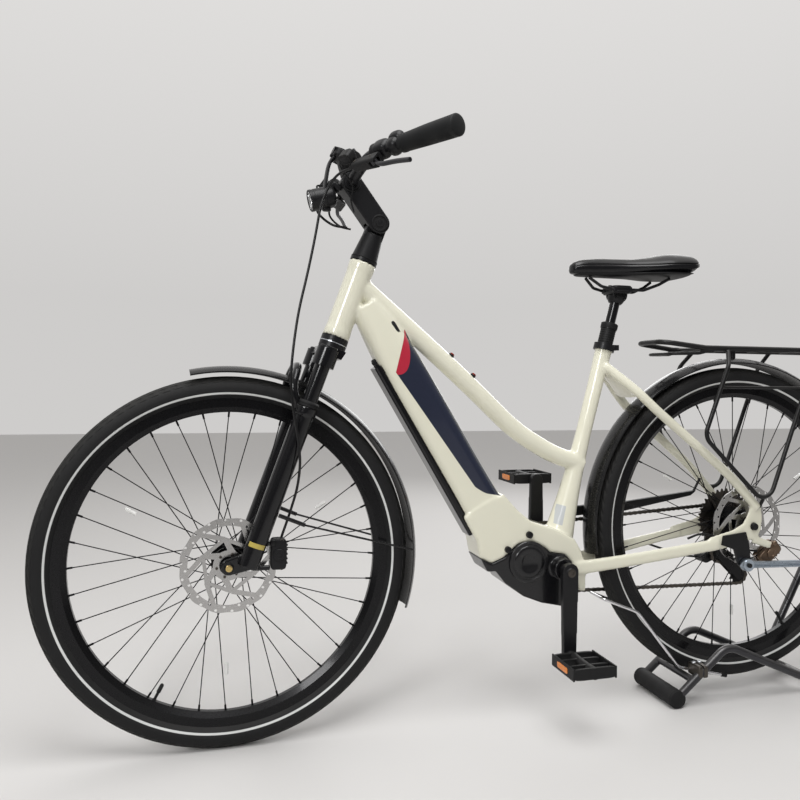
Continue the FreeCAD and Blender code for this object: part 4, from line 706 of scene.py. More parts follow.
def leg_point(height, side, forward=0.0):
    """A point on a fork leg's middle, by its height over the wheel axle along the steerer."""
    return (wheel_centre["front"] + steer_axis * height + steer_back * (LEG_SETBACK - forward)
            + np.array((0, side * LEG_HALF_SPACING, 0)))


fork_skin = skin_of("fork_lower_casting", ["fork_lowers"], 0.0017, 4)
place_piece("fork_lower_casting", fork_skin, "fork_slider", black_gloss, ["fork_lowers"])
dress(black_gloss, "fork_upper")
seals, caps = [], []
for side in (-1, 1):
    wiper = [(0.0002, 0.0215), (0.0030, 0.0215), (0.0034, 0.0203), (0.0050, 0.0203), (0.0054, 0.0212),
             (0.0080, 0.0208), (0.0112, 0.0172), (0.0112, 0.0154), (0.0002, 0.0154)]
    seals.append(spun(wiper, leg_point(LOWER_TOP, side), steer_axis, 40))
    knurl = 1 + 0.03 * (np.arange(48) % 2)
    caps.append(spun([(0, 0.0175), (0.0040, 0.0175), (0.0052, 0.0162)], leg_point(CROWN_RACE - 0.008, side),
                     steer_axis, 48, knurl))
    caps.append(spun([(0.0052, 0.0163), (0.0056, 0.0110), (0.0046, 0.0100), (0.0046, 0.0001)],
                     leg_point(CROWN_RACE - 0.008, side), steer_axis, 48))
place_piece("fork_wiper_seals", together(seals), "fork_slider", black_rubber)
place_piece("fork_leg_caps", together(caps), "steering", black_satin)


def leg_band(side, low, high, radius, from_degrees, to_degrees):
    """A thin foil wrapped part of the way round a leg."""
    height = np.linspace(low, high, 6)
    turn = np.radians(np.linspace(from_degrees, to_degrees, 20))
    h, t = np.meshgrid(height, turn, indexing="ij")
    centre = leg_point(0, side)
    points = (centre + h[..., None] * steer_axis + radius * np.cos(t)[..., None] * np.array((0, side, 0))
              + radius * np.sin(t)[..., None] * steer_back)
    return sheet_points(points)


foil = material("plain_yellow_foil", (0.44, 0.35, 0.08), 0.35, 0.0, 0.3, (200.0, 0.05))
place_piece("fork_foil", leg_band(-1, 0.052, 0.061, 0.01925, -52, 50), "fork_slider", foil)
brass = material("yellow_zinc_axle", (0.62, 0.47, 0.20), 0.3, 1.0)
ends = [bolt_head(wheel_centre["front"] + (0, side * 0.0655, 0), (0, side, 0), 0.0062, 0.0026, 0.62)
        for side in (-1, 1)]
place_piece("front_axle_sockets", together(ends), "fork_slider", brass)


# ---- brake calipers ----------------------------------------------------------------
# Black cast two-piston calipers astride the rotors: two swollen halves joined by a
# bridge, two bolts to the mount, a banjo joint for the hose and a pad pin.

def caliper(name, cad_name, body, outward, slot_y, made):
    """The casting keeps the solid's box; lobes, bolts and fins are laid over its outer faces."""
    low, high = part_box(cad_name)
    middle = np.array((low + high) / 2)
    outward = np.array((outward[0], 0, outward[1])) / math.hypot(*outward)
    along = np.array((-outward[2], 0, outward[0]))
    axes = np.stack((along, outward, (0, 1, 0)))
    near, far = slot_y - 0.0016, low.y
    outer_half = (near - far) / 2
    inner_half = (high.y - slot_y - 0.0016) / 2
    parts = [lump(middle * (1, 0, 1) + (0, far + outer_half, 0), axes, (0.0295, 0.0155, outer_half), 0.35),
             lump(middle * (1, 0, 1) + (0, high.y - inner_half, 0), axes, (0.0290, 0.0150, inner_half),
                  0.35),
             lump(middle + outward * 0.0118, axes, (0.022, 0.0042, (high.y - low.y) / 2 - 0.001), 0.4)]
    for share in (-0.5, 0.5):
        parts.append(lump(middle * (1, 0, 1) + along * share * 0.024 - outward * 0.002
                          + (0, far + 0.0025, 0), axes, (0.0105, 0.0105, 0.003), 0.8))
    for share in (-0.66, -0.33, 0.0, 0.33, 0.66):
        parts.append(lump(middle * (1, 0, 1) + along * share * 0.026 + outward * 0.0148
                          + (0, far + outer_half, 0), axes, (0.0016, 0.0026, outer_half * 0.8), 0.3))
    parts.append(lump(middle * (1, 0, 1) + along * 0.022 - outward * 0.011 + (0, far + 0.001, 0), axes,
                      (0.0065, 0.0050, 0.0035), 0.6))
    piston = [(0.0, 0.0112), (0.0022, 0.0112), (0.0030, 0.0104), (0.0030, 0.0062), (0.0020, 0.0056),
              (0.0020, 0.0001)]
    parts.append(spun(piston, middle * (1, 0, 1) + (0, far, 0), (0, -1, 0), 40))
    shell = together(parts)
    piece = place_piece(name, shell, body, made, [cad_name])
    bolts = [bolt_head(middle * (1, 0, 1) + along * share * 0.052 + outward * 0.006 + (0, far + 0.004, 0),
                       (0, -1, 0), 0.0036, 0.003) for share in (-0.5, 0.5)]
    bolts.append(bolt_head(middle * (1, 0, 1) - outward * 0.002 + (0, far - 0.0002, 0), (0, -1, 0), 0.0055,
                           0.0012, 0.4))
    place_piece(name + "_bolts", together(bolts), body, dark_steel)
    return piece


rotor_y = {end: (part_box(end + "_rotor")[0].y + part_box(end + "_rotor")[1].y) / 2 for end in wheel_centre}
caliper("front_caliper_casting", "front_caliper", "fork_slider", (1, 0), rotor_y["front"], black_satin)
bronze = material("bronze_anodised_caliper", (0.16, 0.11, 0.075), 0.35, 0.8, 0.1, (500.0, 0.1), 0.3)
caliper("rear_caliper_casting", "rear_caliper", "frame", (0.64, -0.768), rotor_y["rear"], bronze)


# ---- mudguards ---------------------------------------------------------------------
# Black moulded mudguards with a satin face; the front one hangs from the fork brace and
# two wire stays.

dress(material("black_mudguard_plastic", (0.006, 0.006, 0.0065), 0.27, 0.0, 0.35, (400.0, 0.03), 0.1,
               0.015), "front_fender", "rear_fender")


# ---- frame -------------------------------------------------------------------------
# Hydroformed alloy tubes welded into one low step-through frame and painted a glossy
# pale cream. The welds are smoothed, so every joint runs over in a soft hollow.
# The down tube carries a painted navy panel with a red slanting end, both sides alike.

CREAM = (0.715, 0.70, 0.575, 1)
NAVY = (0.017, 0.021, 0.040, 1)
PINSTRIPE = (0.060, 0.068, 0.090, 1)
PLAIN_LABEL = (0.50, 0.52, 0.53, 1)
RED = (0.42, 0.022, 0.045, 1)
frame_names = ["head_tube", "top_tube", "down_tube", "seat_tube", "motor_carrier", "rear_triangle"]
origin_behind = -wheel_centre["front"][0]
DOWN_TUBE_TOP = np.array((0.265 - origin_behind, 0, 0.861))
DOWN_TUBE_END = np.array((0.5445 - origin_behind, 0, 0.399))
down_along = (DOWN_TUBE_END - DOWN_TUBE_TOP) / np.linalg.norm(DOWN_TUBE_END - DOWN_TUBE_TOP)
down_above = np.array((-down_along[2], 0, down_along[0]))


def frame_paint():
    """Cream lacquer. The panel is masked by place along the down tube and height over its middle."""
    made, tree, worn = worked_material("cream_frame_lacquer", CREAM[:3], 0.2, 0.0, 0.7, (180.0, 0.03),
                                       0.05, 0.05)
    place = tree.add("ShaderNodeTexCoord").outputs["Object"]
    local = tree.add("ShaderNodeVectorMath", "SUBTRACT", {0: place, 1: tuple(DOWN_TUBE_TOP)}).outputs[0]
    along = tree.add("ShaderNodeVectorMath", "DOT_PRODUCT",
                     {0: local, 1: tuple(down_along)}).outputs["Value"]
    above = tree.add("ShaderNodeVectorMath", "DOT_PRODUCT",
                     {0: local, 1: tuple(down_above)}).outputs["Value"]
    # the slanted upper end, the long lower edge and the foot, whose lower corner is rounded
    slant = tree.sum(along, above)
    lower_edge = tree.sum(above, tree.times(tree.sum(along, -0.167), -0.088))
    corner = tree.step(lower_edge, -0.0050, -0.0204)
    foot = tree.sum(tree.sum(along, tree.times(above, -0.87)),
                    tree.times(tree.times(corner, corner), 0.014))
    panel = tree.times(tree.times(tree.step(slant, 0.1258, 0.1266),
                                  tree.step(lower_edge, -0.0204, -0.0196)),
                       tree.times(tree.step(foot, 0.4465, 0.4457), tree.step(above, 0.0425, 0.0418)))
    # the red end is a leaf, widest in the middle of the panel's height
    leaf = tree.times(tree.sum(above, -0.010), 1 / 0.034)
    leaf_edge = tree.sum(slant, tree.times(tree.times(leaf, leaf), 0.031))
    red = tree.times(panel, tree.step(leaf_edge, 0.1588, 0.1580))
    line = tree.times(tree.step(above, 0.0350, 0.0354), tree.step(above, 0.0370, 0.0366))
    painted = tree.blend(red, tree.blend(panel, CREAM, tree.blend(line, NAVY, PINSTRIPE)), RED)
    # a plain label at the front of the seat tube's foot, on the left
    foot_place = tree.add("ShaderNodeVectorMath", "SUBTRACT", {0: place, 1: tuple(crank_centre)}).outputs[0]
    up, ahead, right = (
        tree.add("ShaderNodeVectorMath", "DOT_PRODUCT", {0: foot_place, 1: tuple(line_up)}).outputs["Value"]
        for line_up in (seat_axis, (-seat_axis[2], 0, seat_axis[0]), (0, 1, 0)))
    label = tree.times(tree.times(tree.step(up, 0.0850, 0.0854), tree.step(up, 0.1270, 0.1266)),
                       tree.times(tree.step(ahead, 0.0100, 0.0104), tree.step(ahead, 0.0260, 0.0256)))
    label = tree.times(label, tree.step(right, -0.0040, -0.0050))
    tree.join(tree.blend(label, painted, PLAIN_LABEL), worn.inputs["Colour"])
    return made


def eased_path(corners, per_corner=8):
    """A curve that runs through the middles of a route's runs and rounds each corner."""
    corners = np.asarray(corners, float)
    middles = (corners[:-1] + corners[1:]) / 2
    starts = np.concatenate((corners[:1], middles))[:-1]
    starts[0], share = corners[0], np.linspace(0, 1, per_corner, endpoint=False)[None, :, None]
    ends = middles[1:].copy()
    ends[-1] = corners[-1]
    here, turn, there = middles[:-1][:, None], corners[1:-1][:, None], ends[:, None]
    here = here.copy()
    here[0] = corners[0]
    curve = (1 - share) ** 2 * here + 2 * share * (1 - share) * turn + share ** 2 * there
    return np.concatenate((curve.reshape(-1, 3), corners[-1:]))


def at(behind, right, height):
    """A point from its millimetres behind the front axle, right of the middle and over the floor."""
    return np.array((behind - origin_behind * 1000, right, height)) / 1000


crank_centre = np.array(joints["crank_spin"]["pos_m"])
SEAT_TILT = math.radians(75.4)
seat_axis = np.array((math.cos(SEAT_TILT), 0, math.sin(SEAT_TILT)))
cream = frame_paint()
top_core = eased_path((at(262, 0, 893), at(362, 0, 810), at(489, 0, 701), at(596, 0, 601.5),
                       at(688, 0, 549), at(750, 0, 530)))
seat_core = crank_centre + seat_axis * np.linspace(0.115, 0.470, 10)[:, None]
bay_middle = DOWN_TUBE_TOP + down_along * 0.321 - down_above * 0.009
bay_core = lump(bay_middle, (down_along, down_above, (0, 1, 0)), (0.194, 0.0295, 0.0275), 0.16, 24, 40)
tube_cores = [swept(top_core, round_section(0.0178, 20)), swept(seat_core, round_section(0.0170, 20)),
              bay_core]
place_skin("frame_welded", "frame", cream, frame_names, 0.0030, 7, tube_cores)

# A black rubber port lets the hoses into the down tube on each side of its upper end.
ports = []
for side in (-1, 1):
    middle = np.array((0.3235 - origin_behind, side * 0.0262, 0.812))
    ports.append(lump(middle, (down_along, down_above, (0, side, 0)), (0.0165, 0.0055, 0.0030), 0.6))
    ports.append(lump(middle + (0, side * 0.0015, 0), (down_along, down_above, (0, side, 0)),
                      (0.0125, 0.0026, 0.0026), 0.6))
latch_place = DOWN_TUBE_TOP + down_along * 0.1165 - down_above * 0.0415
latch = together((lump(latch_place, np.stack((down_along, (0, 1, 0), down_above)), (0.0110, 0.0130, 0.0045),
                       0.4),
                  lump(latch_place - down_along * 0.004 - down_above * 0.003,
                       np.stack((down_along, (0, 1, 0), down_above)), (0.0035, 0.0060, 0.0035), 0.5)))
place_piece("battery_latch", latch, "frame", black_rubber)
place_piece("hose_ports", together(ports), "frame", black_rubber)
dress(black_satin, "headset_cups")
ring = spun([(-0.0008, 0.0279), (0.0008, 0.0279), (0.0008, 0.0271), (-0.0008, 0.0271), (-0.0008, 0.0279)],
            wheel_centre["front"] + steer_axis * (CROWN_RACE + 0.0125) + steer_back * 0.046, steer_axis, 64)
place_piece("lower_cup_line", ring, "frame", bare_silver)
dress(black_satin, "frame_fittings")
boss_along = (at(489, 0, 701) - at(362, 0, 810)) / np.linalg.norm(at(489, 0, 701) - at(362, 0, 810))
boss_axis = np.array((-boss_along[2], 0, boss_along[0]))
red_alloy = material("red_anodised_screw", (0.30, 0.035, 0.02), 0.3, 0.8)
boss_screws = []
for share in (-1, 1):
    spot = at(462, 0, 724.2) + boss_axis * 0.0225 + boss_along * share * 0.032
    boss_screws.append(bolt_head(spot, boss_axis, 0.0048, 0.0030, 0.5))
place_piece("boss_screws", together(boss_screws), "frame", red_alloy)


# ---- battery and motor -------------------------------------------------------------
# The battery's gloss cover closes the down tube's underside. The black cast motor hangs
# in the frame's carrier, with a stepped round cover on its left and cooling ribs below.

dress(black_gloss, "battery")
motor_black = material("black_cast_motor", (0.006, 0.006, 0.007), 0.26, 0.0, 0.4, (900.0, 0.2), 0.25)
place_skin("motor_casting", "frame", motor_black, ["motor_housing"], 0.0022, 6)
low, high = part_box("motor_cover")
cover_middle = np.array(((low.x + high.x) / 2, high.y, (low.z + high.z) / 2))
steps = [(0, 0.0435), (0.0034, 0.0435), (0.0046, 0.0422), (0.0046, 0.0372), (0.0036, 0.0364),
         (0.0036, 0.0338), (0.0050, 0.0325), (0.0058, 0.0300), (0.0060, 0.0180), (0.0054, 0.0172),
         (0.0054, 0.0001)]
cover_rings = spun(steps, cover_middle, (0, -1, 0), 96)
place_piece("motor_round_cover", cover_rings, "frame", motor_black, ["motor_cover"])
motor_bolts = []
for x, z in ((0.566, 0.358), (0.614, 0.387)):
    for side in (-1, 1):
        motor_bolts.append(bolt_head(np.array((x - origin_behind, side * 0.0425, z)), (0, side, 0), 0.0068,
                                     0.0028, 0.6))
place_piece("motor_bolts", together(motor_bolts), "frame", black_satin)


# ---- cranks and pedals -------------------------------------------------------------
# Forged black arms with a soft edge on a hidden spindle, closed by a flat cap. The
# pedals are black cages with toothed long sides and an amber reflector in each.

place_skin("crank_forgings", "crankset", black_satin, ["cranks"], 0.0015, 5)
crank_caps = [bolt_head(crank_centre + (0, side * 0.0925, 0), (0, side, 0), 0.0086, 0.0022, 0.55)
              for side in (-1, 1)]
place_piece("crank_caps", together(crank_caps), "crankset", dark_steel)
amber = material("amber_reflector", (0.75, 0.22, 0.02), 0.2, 0.0, 0.7, (420.0, 0.6), 0.3)
PEDAL_HALF_LENGTH = 0.048


def pedal_cage(middle, low_y, high_y):
    """Two toothed long rails, two end plates, two cross bars and the barrel round the axle."""
    axes = np.eye(3)
    middle_y, half_y = (low_y + high_y) / 2, (high_y - low_y) / 2
    parts = []
    for end in (-1, 1):
        count = 61
        along = np.linspace(-half_y + 0.001, half_y - 0.001, count)
        tooth = 0.0016 * (np.arange(count) % 4 < 2)
        path = np.stack((np.full(count, middle[0] + end * (PEDAL_HALF_LENGTH - 0.0030)), middle_y + along,
                         np.full(count, middle[2])), axis=1)
        low_edge = np.stack((path - (0.0018, 0, 0), path + (0.0018, 0, 0)), axis=1)
        top = low_edge + np.stack((tooth * 0, tooth * 0, 0.0100 + tooth), axis=1)[:, None]
        bottom = low_edge - np.stack((tooth * 0, tooth * 0, 0.0100 + tooth), axis=1)[:, None]
        ring = np.stack((bottom[:, 0], bottom[:, 1], top[:, 1], top[:, 0]), axis=1)
        ring = np.concatenate((ring.mean(axis=1, keepdims=True)[:1].repeat(4, axis=1), ring,
                               ring.mean(axis=1, keepdims=True)[-1:].repeat(4, axis=1)))
        parts.append(facing_out(*sheet_points(ring, close_columns=True)))
    for edge_y in (low_y + 0.0040, high_y - 0.0040):
        parts.append(lump((middle[0], edge_y, middle[2]), axes, (PEDAL_HALF_LENGTH - 0.003, 0.0038, 0.0112),
                          0.3))
    for share in (-0.36, 0.36):
        parts.append(lump((middle[0], middle_y + share * half_y * 1.0, middle[2]), axes,
                          (PEDAL_HALF_LENGTH - 0.004, 0.0030, 0.0085), 0.3))
    barrel = [(-half_y, 0.0056), (-half_y, 0.0115), (-half_y * 0.4, 0.0100), (half_y * 0.4, 0.0100),
              (half_y, 0.0115), (half_y, 0.0056)]
    parts.append(spun(barrel, (middle[0], middle_y, middle[2]), (0, 1, 0), 32))
    return together(parts)


for hand in ("left", "right"):
    low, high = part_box("pedal_" + hand)
    middle = np.array(((low.x + high.x) / 2, (low.y + high.y) / 2, (low.z + high.z) / 2))
    name = "pedal_cage_" + hand
    place_piece(name, build_mesh(name, *pedal_cage(middle, low.y, high.y), False), "pedal_" + hand,
                black_plastic, ["pedal_" + hand])
    lights = [lump(middle + (end * (PEDAL_HALF_LENGTH - 0.0011), 0, 0), np.eye(3), (0.0010, 0.0215, 0.0058),
                   0.3) for end in (-1, 1)]
    name = "pedal_reflectors_" + hand
    place_piece(name, together(lights), "pedal_" + hand, amber)


# ---- chain and sprockets -----------------------------------------------------------
# A dark oiled roller chain of 12.7 mm pitch runs over the front ring, the third-smallest
# cog and two small cage wheels. All toothed wheels are stamped from flat steel.

CHAIN_PITCH = 0.0127
chain_y = 0.052
sprocket_places = [("crank_spin", 38, 1), ("rear_wheel_spin", 15, 1), ("guide_pulley_spin", 11, -1),
                   ("tension_pulley_spin", 11, 1)]


def pitch_radius(teeth):
    """The radius at which the chain's pins lie on a wheel with this many teeth."""
    return CHAIN_PITCH / (2 * math.sin(math.pi / teeth))


def chain_line():
    """The chain's middle line as (x, z) points: tangent runs and arcs round four wheels."""
    wheels = []
    for joint, teeth, side in sprocket_places:
        place = joints[joint]["pos_m"]
        wheels.append((np.array((place[0], place[2])), pitch_radius(teeth), side))
    touches = []
    for (here, r1, s1), (there, r2, s2) in zip(wheels, wheels[1:] + wheels[:1]):
        span = there - here
        length = np.linalg.norm(span)
        along = span / length
        left = np.array((-along[1], along[0]))
        share = (r1 * s1 - r2 * s2) / length
        normal = along * share + left * math.sqrt(1 - share * share)
        touches.append((here + normal * r1 * s1, there + normal * r2 * s2))
    line = []
    for number, (start, end) in enumerate(touches):
        following = touches[(number + 1) % 4][0]
        centre, radius, side = wheels[(number + 1) % 4]
        line.append(start + (end - start) * np.linspace(0, 1, 80, endpoint=False)[:, None])
        first, last = (math.atan2(*(spot - centre)[::-1]) for spot in (end, following))
        swing = (last - first) % (2 * math.pi)
        if side > 0:
            swing -= 2 * math.pi
        turn = first + swing * np.linspace(0, 1, 80, endpoint=False)
        line.append(centre + radius * np.stack((np.cos(turn), np.sin(turn)), axis=1))
    return np.concatenate(line)


line = chain_line()
closed = np.concatenate((line, line[:1]))
run = np.concatenate(([0], np.cumsum(np.linalg.norm(np.diff(closed, axis=0), axis=1))))
link_count = int(round(run[-1] / CHAIN_PITCH / 2)) * 2
spots = np.linspace(0, run[-1], link_count, endpoint=False)
pins = np.stack((np.interp(spots, run, closed[:, 0]), np.interp(spots, run, closed[:, 1])), axis=1)


def chain_plates(pins, offsets, half_thick):
    """Waisted plates between neighbouring pins: a ring of 12 points per plate, given thickness."""
    here, there = pins, np.roll(pins, -1, 0)
    along = (there - here) / np.linalg.norm(there - here, axis=1)[:, None]
    across = np.stack((-along[:, 1], along[:, 0]), axis=1)
    end_turn = np.radians([90, 135, 180, 225, 270])
    left = np.stack((0.0042 * np.cos(end_turn), 0.0042 * np.sin(end_turn)), axis=1)
    right = -left + (CHAIN_PITCH, 0)
    outline = np.concatenate((left, [(CHAIN_PITCH / 2, -0.0030)], right, [(CHAIN_PITCH / 2, 0.0030)]))
    flat = here[:, None] + outline[None, :, :1] * along[:, None] + outline[None, :, 1:] * across[:, None]
    points, faces = [], []
    ring = len(outline)
    for number in range(len(offsets)):
        y = offsets[number]
        loops = [np.insert(flat[number], 1, y + half_thick * lift, axis=1) for lift in (-1, 1)]
        middle = np.array([loop.mean(axis=0) for loop in loops])
        points.append(np.concatenate((middle[:1].repeat(ring, 0), loops[0], loops[1],
                                      middle[1:].repeat(ring, 0))))
        faces.append(grid_faces(4, ring, False, True) + number * 4 * ring)
    return facing_out(np.concatenate(points), np.concatenate(faces))


outer_plate = np.arange(link_count) % 2 == 0
chain_parts = []
for side in (-1, 1):
    offset = np.where(outer_plate, 0.0024, 0.0016) * side + chain_y
    chain_parts.append(chain_plates(pins, offset, 0.0004))
for pin in pins:
    chain_parts.append(spun([(-0.0029, 0.0001), (-0.0029, 0.0017), (-0.0013, 0.0017), (-0.0013, 0.0038),
                             (0.0013, 0.0038), (0.0013, 0.0017), (0.0029, 0.0017), (0.0029, 0.0001)],
                            (pin[0], chain_y, pin[1]), (0, 1, 0), 8))
place_piece("roller_chain", build_mesh("roller_chain", *together(chain_parts), False), "frame", dark_steel,
            ["chain"])


def tooth_phase(centre, teeth):
    """The turn at which the rollers lie in the gaps of a wheel."""
    offset = pins - (centre[0], centre[2])
    near = np.abs(np.linalg.norm(offset, axis=1) - pitch_radius(teeth)) < 0.0006
    turn = np.arctan2(offset[near, 0], offset[near, 1])
    return np.angle(np.exp(1j * turn * teeth).mean()) / teeth if near.any() else 0.0


def toothed_disc(centre, y, teeth, inner, half_thick, phase=0.0):
    """A flat ring whose outer radius follows rounded gaps and narrow teeth, ten points a tooth."""
    count = teeth * 10
    turn = np.arange(count) * 2 * np.pi / count
    within = (np.arange(count) % 10) / 10
    depth = np.interp(within, (0, 0.1, 0.2, 0.35, 0.45, 0.55, 0.65, 0.8, 0.9, 1.0),
                      (-0.0039, -0.0037, -0.0028, 0.0016, 0.0030, 0.0030, 0.0016, -0.0028, -0.0037,
                       -0.0039))
    outer = pitch_radius(teeth) + depth
    turn = turn + phase
    loops = []
    for side, radius in ((-1, np.full(count, inner)), (-1, outer), (1, outer), (1, np.full(count, inner))):
        thick = half_thick if side else 0
        loops.append(np.stack((radius * np.sin(turn), np.full(count, y + side * thick),
                               radius * np.cos(turn)), axis=1))
    points = np.stack(loops) + (centre[0], 0, centre[2])
    return facing_out(*sheet_points(points, True, True))


ring_parts = [toothed_disc(crank_centre, chain_y, 38, 0.060, 0.0010, tooth_phase(crank_centre, 38))]
for number in range(5):
    arm_points, arm_faces = flat_bar(polar(0.012, number * 72), polar(0.064, number * 72), 0.011, 0.006,
                                     chain_y - 0.0012, 0.0022)
    ring_parts.append((arm_points + (crank_centre[0], 0, crank_centre[2]), arm_faces))
    x, z = polar(0.0625, number * 72)
    ring_parts.append(bolt_head(crank_centre + (x, chain_y + 0.0009, z), (0, 1, 0), 0.0045, 0.0016))
ring_parts.append(spun([(0.0412, 0.0121), (0.0412, 0.0215), (0.0530, 0.0215), (0.0545, 0.0170),
                        (0.0545, 0.0121), (0.0412, 0.0121)], crank_centre, (0, 1, 0), 48))
place_piece("front_chainring", build_mesh("front_chainring", *together(ring_parts), False), "crankset",
            dark_steel, ["chainring"])

axle_rear = wheel_centre["rear"]
COG_TEETH = (34, 30, 26, 23, 20, 17, 15, 13, 11)
cogs = []
for number, teeth in enumerate(COG_TEETH):
    y = chain_y + (number - 6) * 0.00435
    inner = 0.019 if teeth < 20 else pitch_radius(teeth) - 0.0135
    phase = tooth_phase(axle_rear, 15) if teeth == 15 else 0.31 * number
    cogs.append(toothed_disc(axle_rear, y, teeth, inner, 0.0009, phase))
    if teeth >= 20:
        for arm_number in range(7):
            degrees = arm_number * 360 / 7 + number * 9
            points, faces = flat_bar(polar(0.018, degrees), polar(inner + 0.002, degrees + 16), 0.0045,
                                     0.0030, y, 0.0009)
            cogs.append((points + (axle_rear[0], 0, axle_rear[2]), faces))
    cogs.append(spun([(-0.0014, 0.0176), (-0.0014, 0.0202), (0.0014, 0.0202), (0.0014, 0.0176)],
                     axle_rear + (0, y, 0), (0, 1, 0), 40))
notches = 1 + 0.04 * (np.arange(48) % 4 < 2)
cogs.append(spun([(0.0100, 0.0150), (0.0115, 0.0150), (0.0120, 0.0120), (0.0105, 0.0110)],
                 axle_rear + (0, chain_y, 0), (0, 1, 0), 48, notches))
place_piece("cog_stack", build_mesh("cog_stack", *together(cogs), False), "cassette", dark_steel,
            ["cassette"])

for wheel in ("guide", "tension"):
    centre = np.array(joints[wheel + "_pulley_spin"]["pos_m"])
    parts = [toothed_disc(centre, chain_y, 11, 0.0085, 0.0011, tooth_phase(centre, 11)),
             spun([(-0.004, 0.0031), (-0.004, 0.0088), (0.004, 0.0088), (0.004, 0.0031), (-0.004, 0.0031)],
                  (centre[0], chain_y, centre[2]), (0, 1, 0), 32)]
    name = wheel + "_pulley_wheel"
    place_piece(name, build_mesh(name, *together(parts), False), wheel + "_pulley", black_plastic,
                [wheel + "_pulley"])

place_skin("derailleur_body", "frame", black_satin, ["derailleur"], 0.0010, 3)
changer_bolts = []
for joint in ("guide_pulley_spin", "tension_pulley_spin"):
    centre = np.array(joints[joint]["pos_m"])
    changer_bolts.append(bolt_head((centre[0], chain_y + 0.0087, centre[2]), (0, 1, 0), 0.0042, 0.0016))
place_piece("derailleur_bolts", together(changer_bolts), "frame", bare_silver)
place_skin("chain_guard_moulding", "frame", black_plastic, ["chain_guard"], 0.0013, 4)


# ---- stem --------------------------------------------------------------------------
# A black forged stem that tilts: a tapered collar on the steerer, two cheeks on a pivot
# with a stepped round cap each side, and a clamp closed by a round cap at the bar.

place_skin("stem_collar", "steering", black_satin, ["stem_base"], 0.0014, 5)
place_skin("stem_cheeks", "bar", black_satin, ["stem_arm"], 0.0014, 7)
stem_pivot = np.array(joints["stem_angle"]["pos_m"])
STEM_LEAN = math.radians(53.3)
STEM_REACH = 0.0964
STEM_FACE = 0.0249
bar_centre = stem_pivot + STEM_REACH * np.array((-math.cos(STEM_LEAN), 0, math.sin(STEM_LEAN)))
stem_caps = []
for side in (-1, 1):
    teeth = 1 + 0.025 * (np.arange(64) % 4 < 2)
    stem_caps.append(spun([(0, 0.0165), (0.0016, 0.0165), (0.0022, 0.0158), (0.0022, 0.0136)],
                          stem_pivot + (0, side * STEM_FACE, 0), (0, side, 0), 64, teeth))
    stem_caps.append(spun([(0.0022, 0.0138), (0.0012, 0.0132), (0.0012, 0.0085), (0.0024, 0.0078),
                           (0.0024, 0.0046), (0.0010, 0.0042), (0.0010, 0.0001)],
                          stem_pivot + (0, side * STEM_FACE, 0), (0, side, 0), 64))
    stem_caps.append(spun([(0, 0.0195), (0.0014, 0.0195), (0.0020, 0.0188), (0.0020, 0.0162),
                           (0.0008, 0.0158)], bar_centre + (0, side * STEM_FACE, 0), (0, side, 0), 64))
place_piece("stem_caps", together(stem_caps), "bar", black_plastic)
collar_line = spun([(0, 0.0274), (0.0010, 0.0276), (0.0020, 0.0274)],
                   wheel_centre["front"] + steer_axis * 0.6482 + steer_back * 0.046, steer_axis, 64)
place_piece("stem_base_ring", collar_line, "steering", black_rubber)
dress(black_satin, "handlebar")


# ---- grips, levers and switches ----------------------------------------------------
# Soft black grips with a fine diamond knurl that swell to a rounded end; black clamp
# bodies with grey forged lever blades; a domed switch on the left, a shifter on the right.

def hand_frame(side):
    """The bar inboard of a grip: a point, and directions outward, below the bar and across it."""
    outer = np.array((0.347 - origin_behind, side * 0.328, 1.129))
    inner = np.array((0.252 - origin_behind, side * 0.160, 1.124))
    outward = (outer - inner) / np.linalg.norm(outer - inner)
    below = np.array((-0.68, 0, -0.73))
    below -= below @ outward * outward
    below /= np.linalg.norm(below)
    return inner, outward, below, np.cross(outward, below)


def in_hand(side, along, below, across):
    """A place by its distances along, below and across the bar's end on one side."""
    inner, *directions = hand_frame(side)
    return inner + np.array((along, below, across)) @ np.stack(directions)


def grip_shape(side):
    """A swelling round grip: radius by place, with ribs crossing in a diamond pattern 0.4 mm deep."""
    inner, outward, below, across = hand_frame(side)
    start, length, count = 0.065, 0.128, 96
    place = np.concatenate((np.linspace(0, length, 150),
                            length + 0.004 * np.sin(np.linspace(0.2, 1.57, 8))))
    turn = np.linspace(0, 2 * np.pi, count, endpoint=False)
    p, t = np.meshgrid(place, turn, indexing="ij")
    share = np.clip(p / length, 0, 1)
    radius = 0.0162 + 0.0030 * share ** 1.6 + 0.0009 * np.sin(share * np.pi)
    body = (share > 0.07) & (share < 0.94)
    knurl = np.maximum(np.abs(np.sin(12 * t + p * 900)), np.abs(np.sin(12 * t - p * 900))) ** 8
    radius = radius - np.where(body, 0.0005 * knurl, 0) + np.where(share < 0.05, 0.0006, 0)
    radius = radius * np.where(p > length, np.sqrt(np.clip(1 - ((p - length) / 0.0041) ** 2, 1e-5, 1)), 1)
    palm = 1 + 0.10 * np.clip(np.cos(t), 0, 1) ** 2 * np.sin(share * np.pi) ** 2
    points = (inner + (start + p)[..., None] * outward + (radius * palm * np.cos(t))[..., None] * -below
              + (radius * palm * np.sin(t))[..., None] * across)
    near_end = points[:1] * 0 + (inner + start * outward)
    far_end = points[:1] * 0 + (inner + (start + length + 0.004) * outward)
    return sheet_points(np.concatenate((near_end, points, far_end)), close_columns=True)


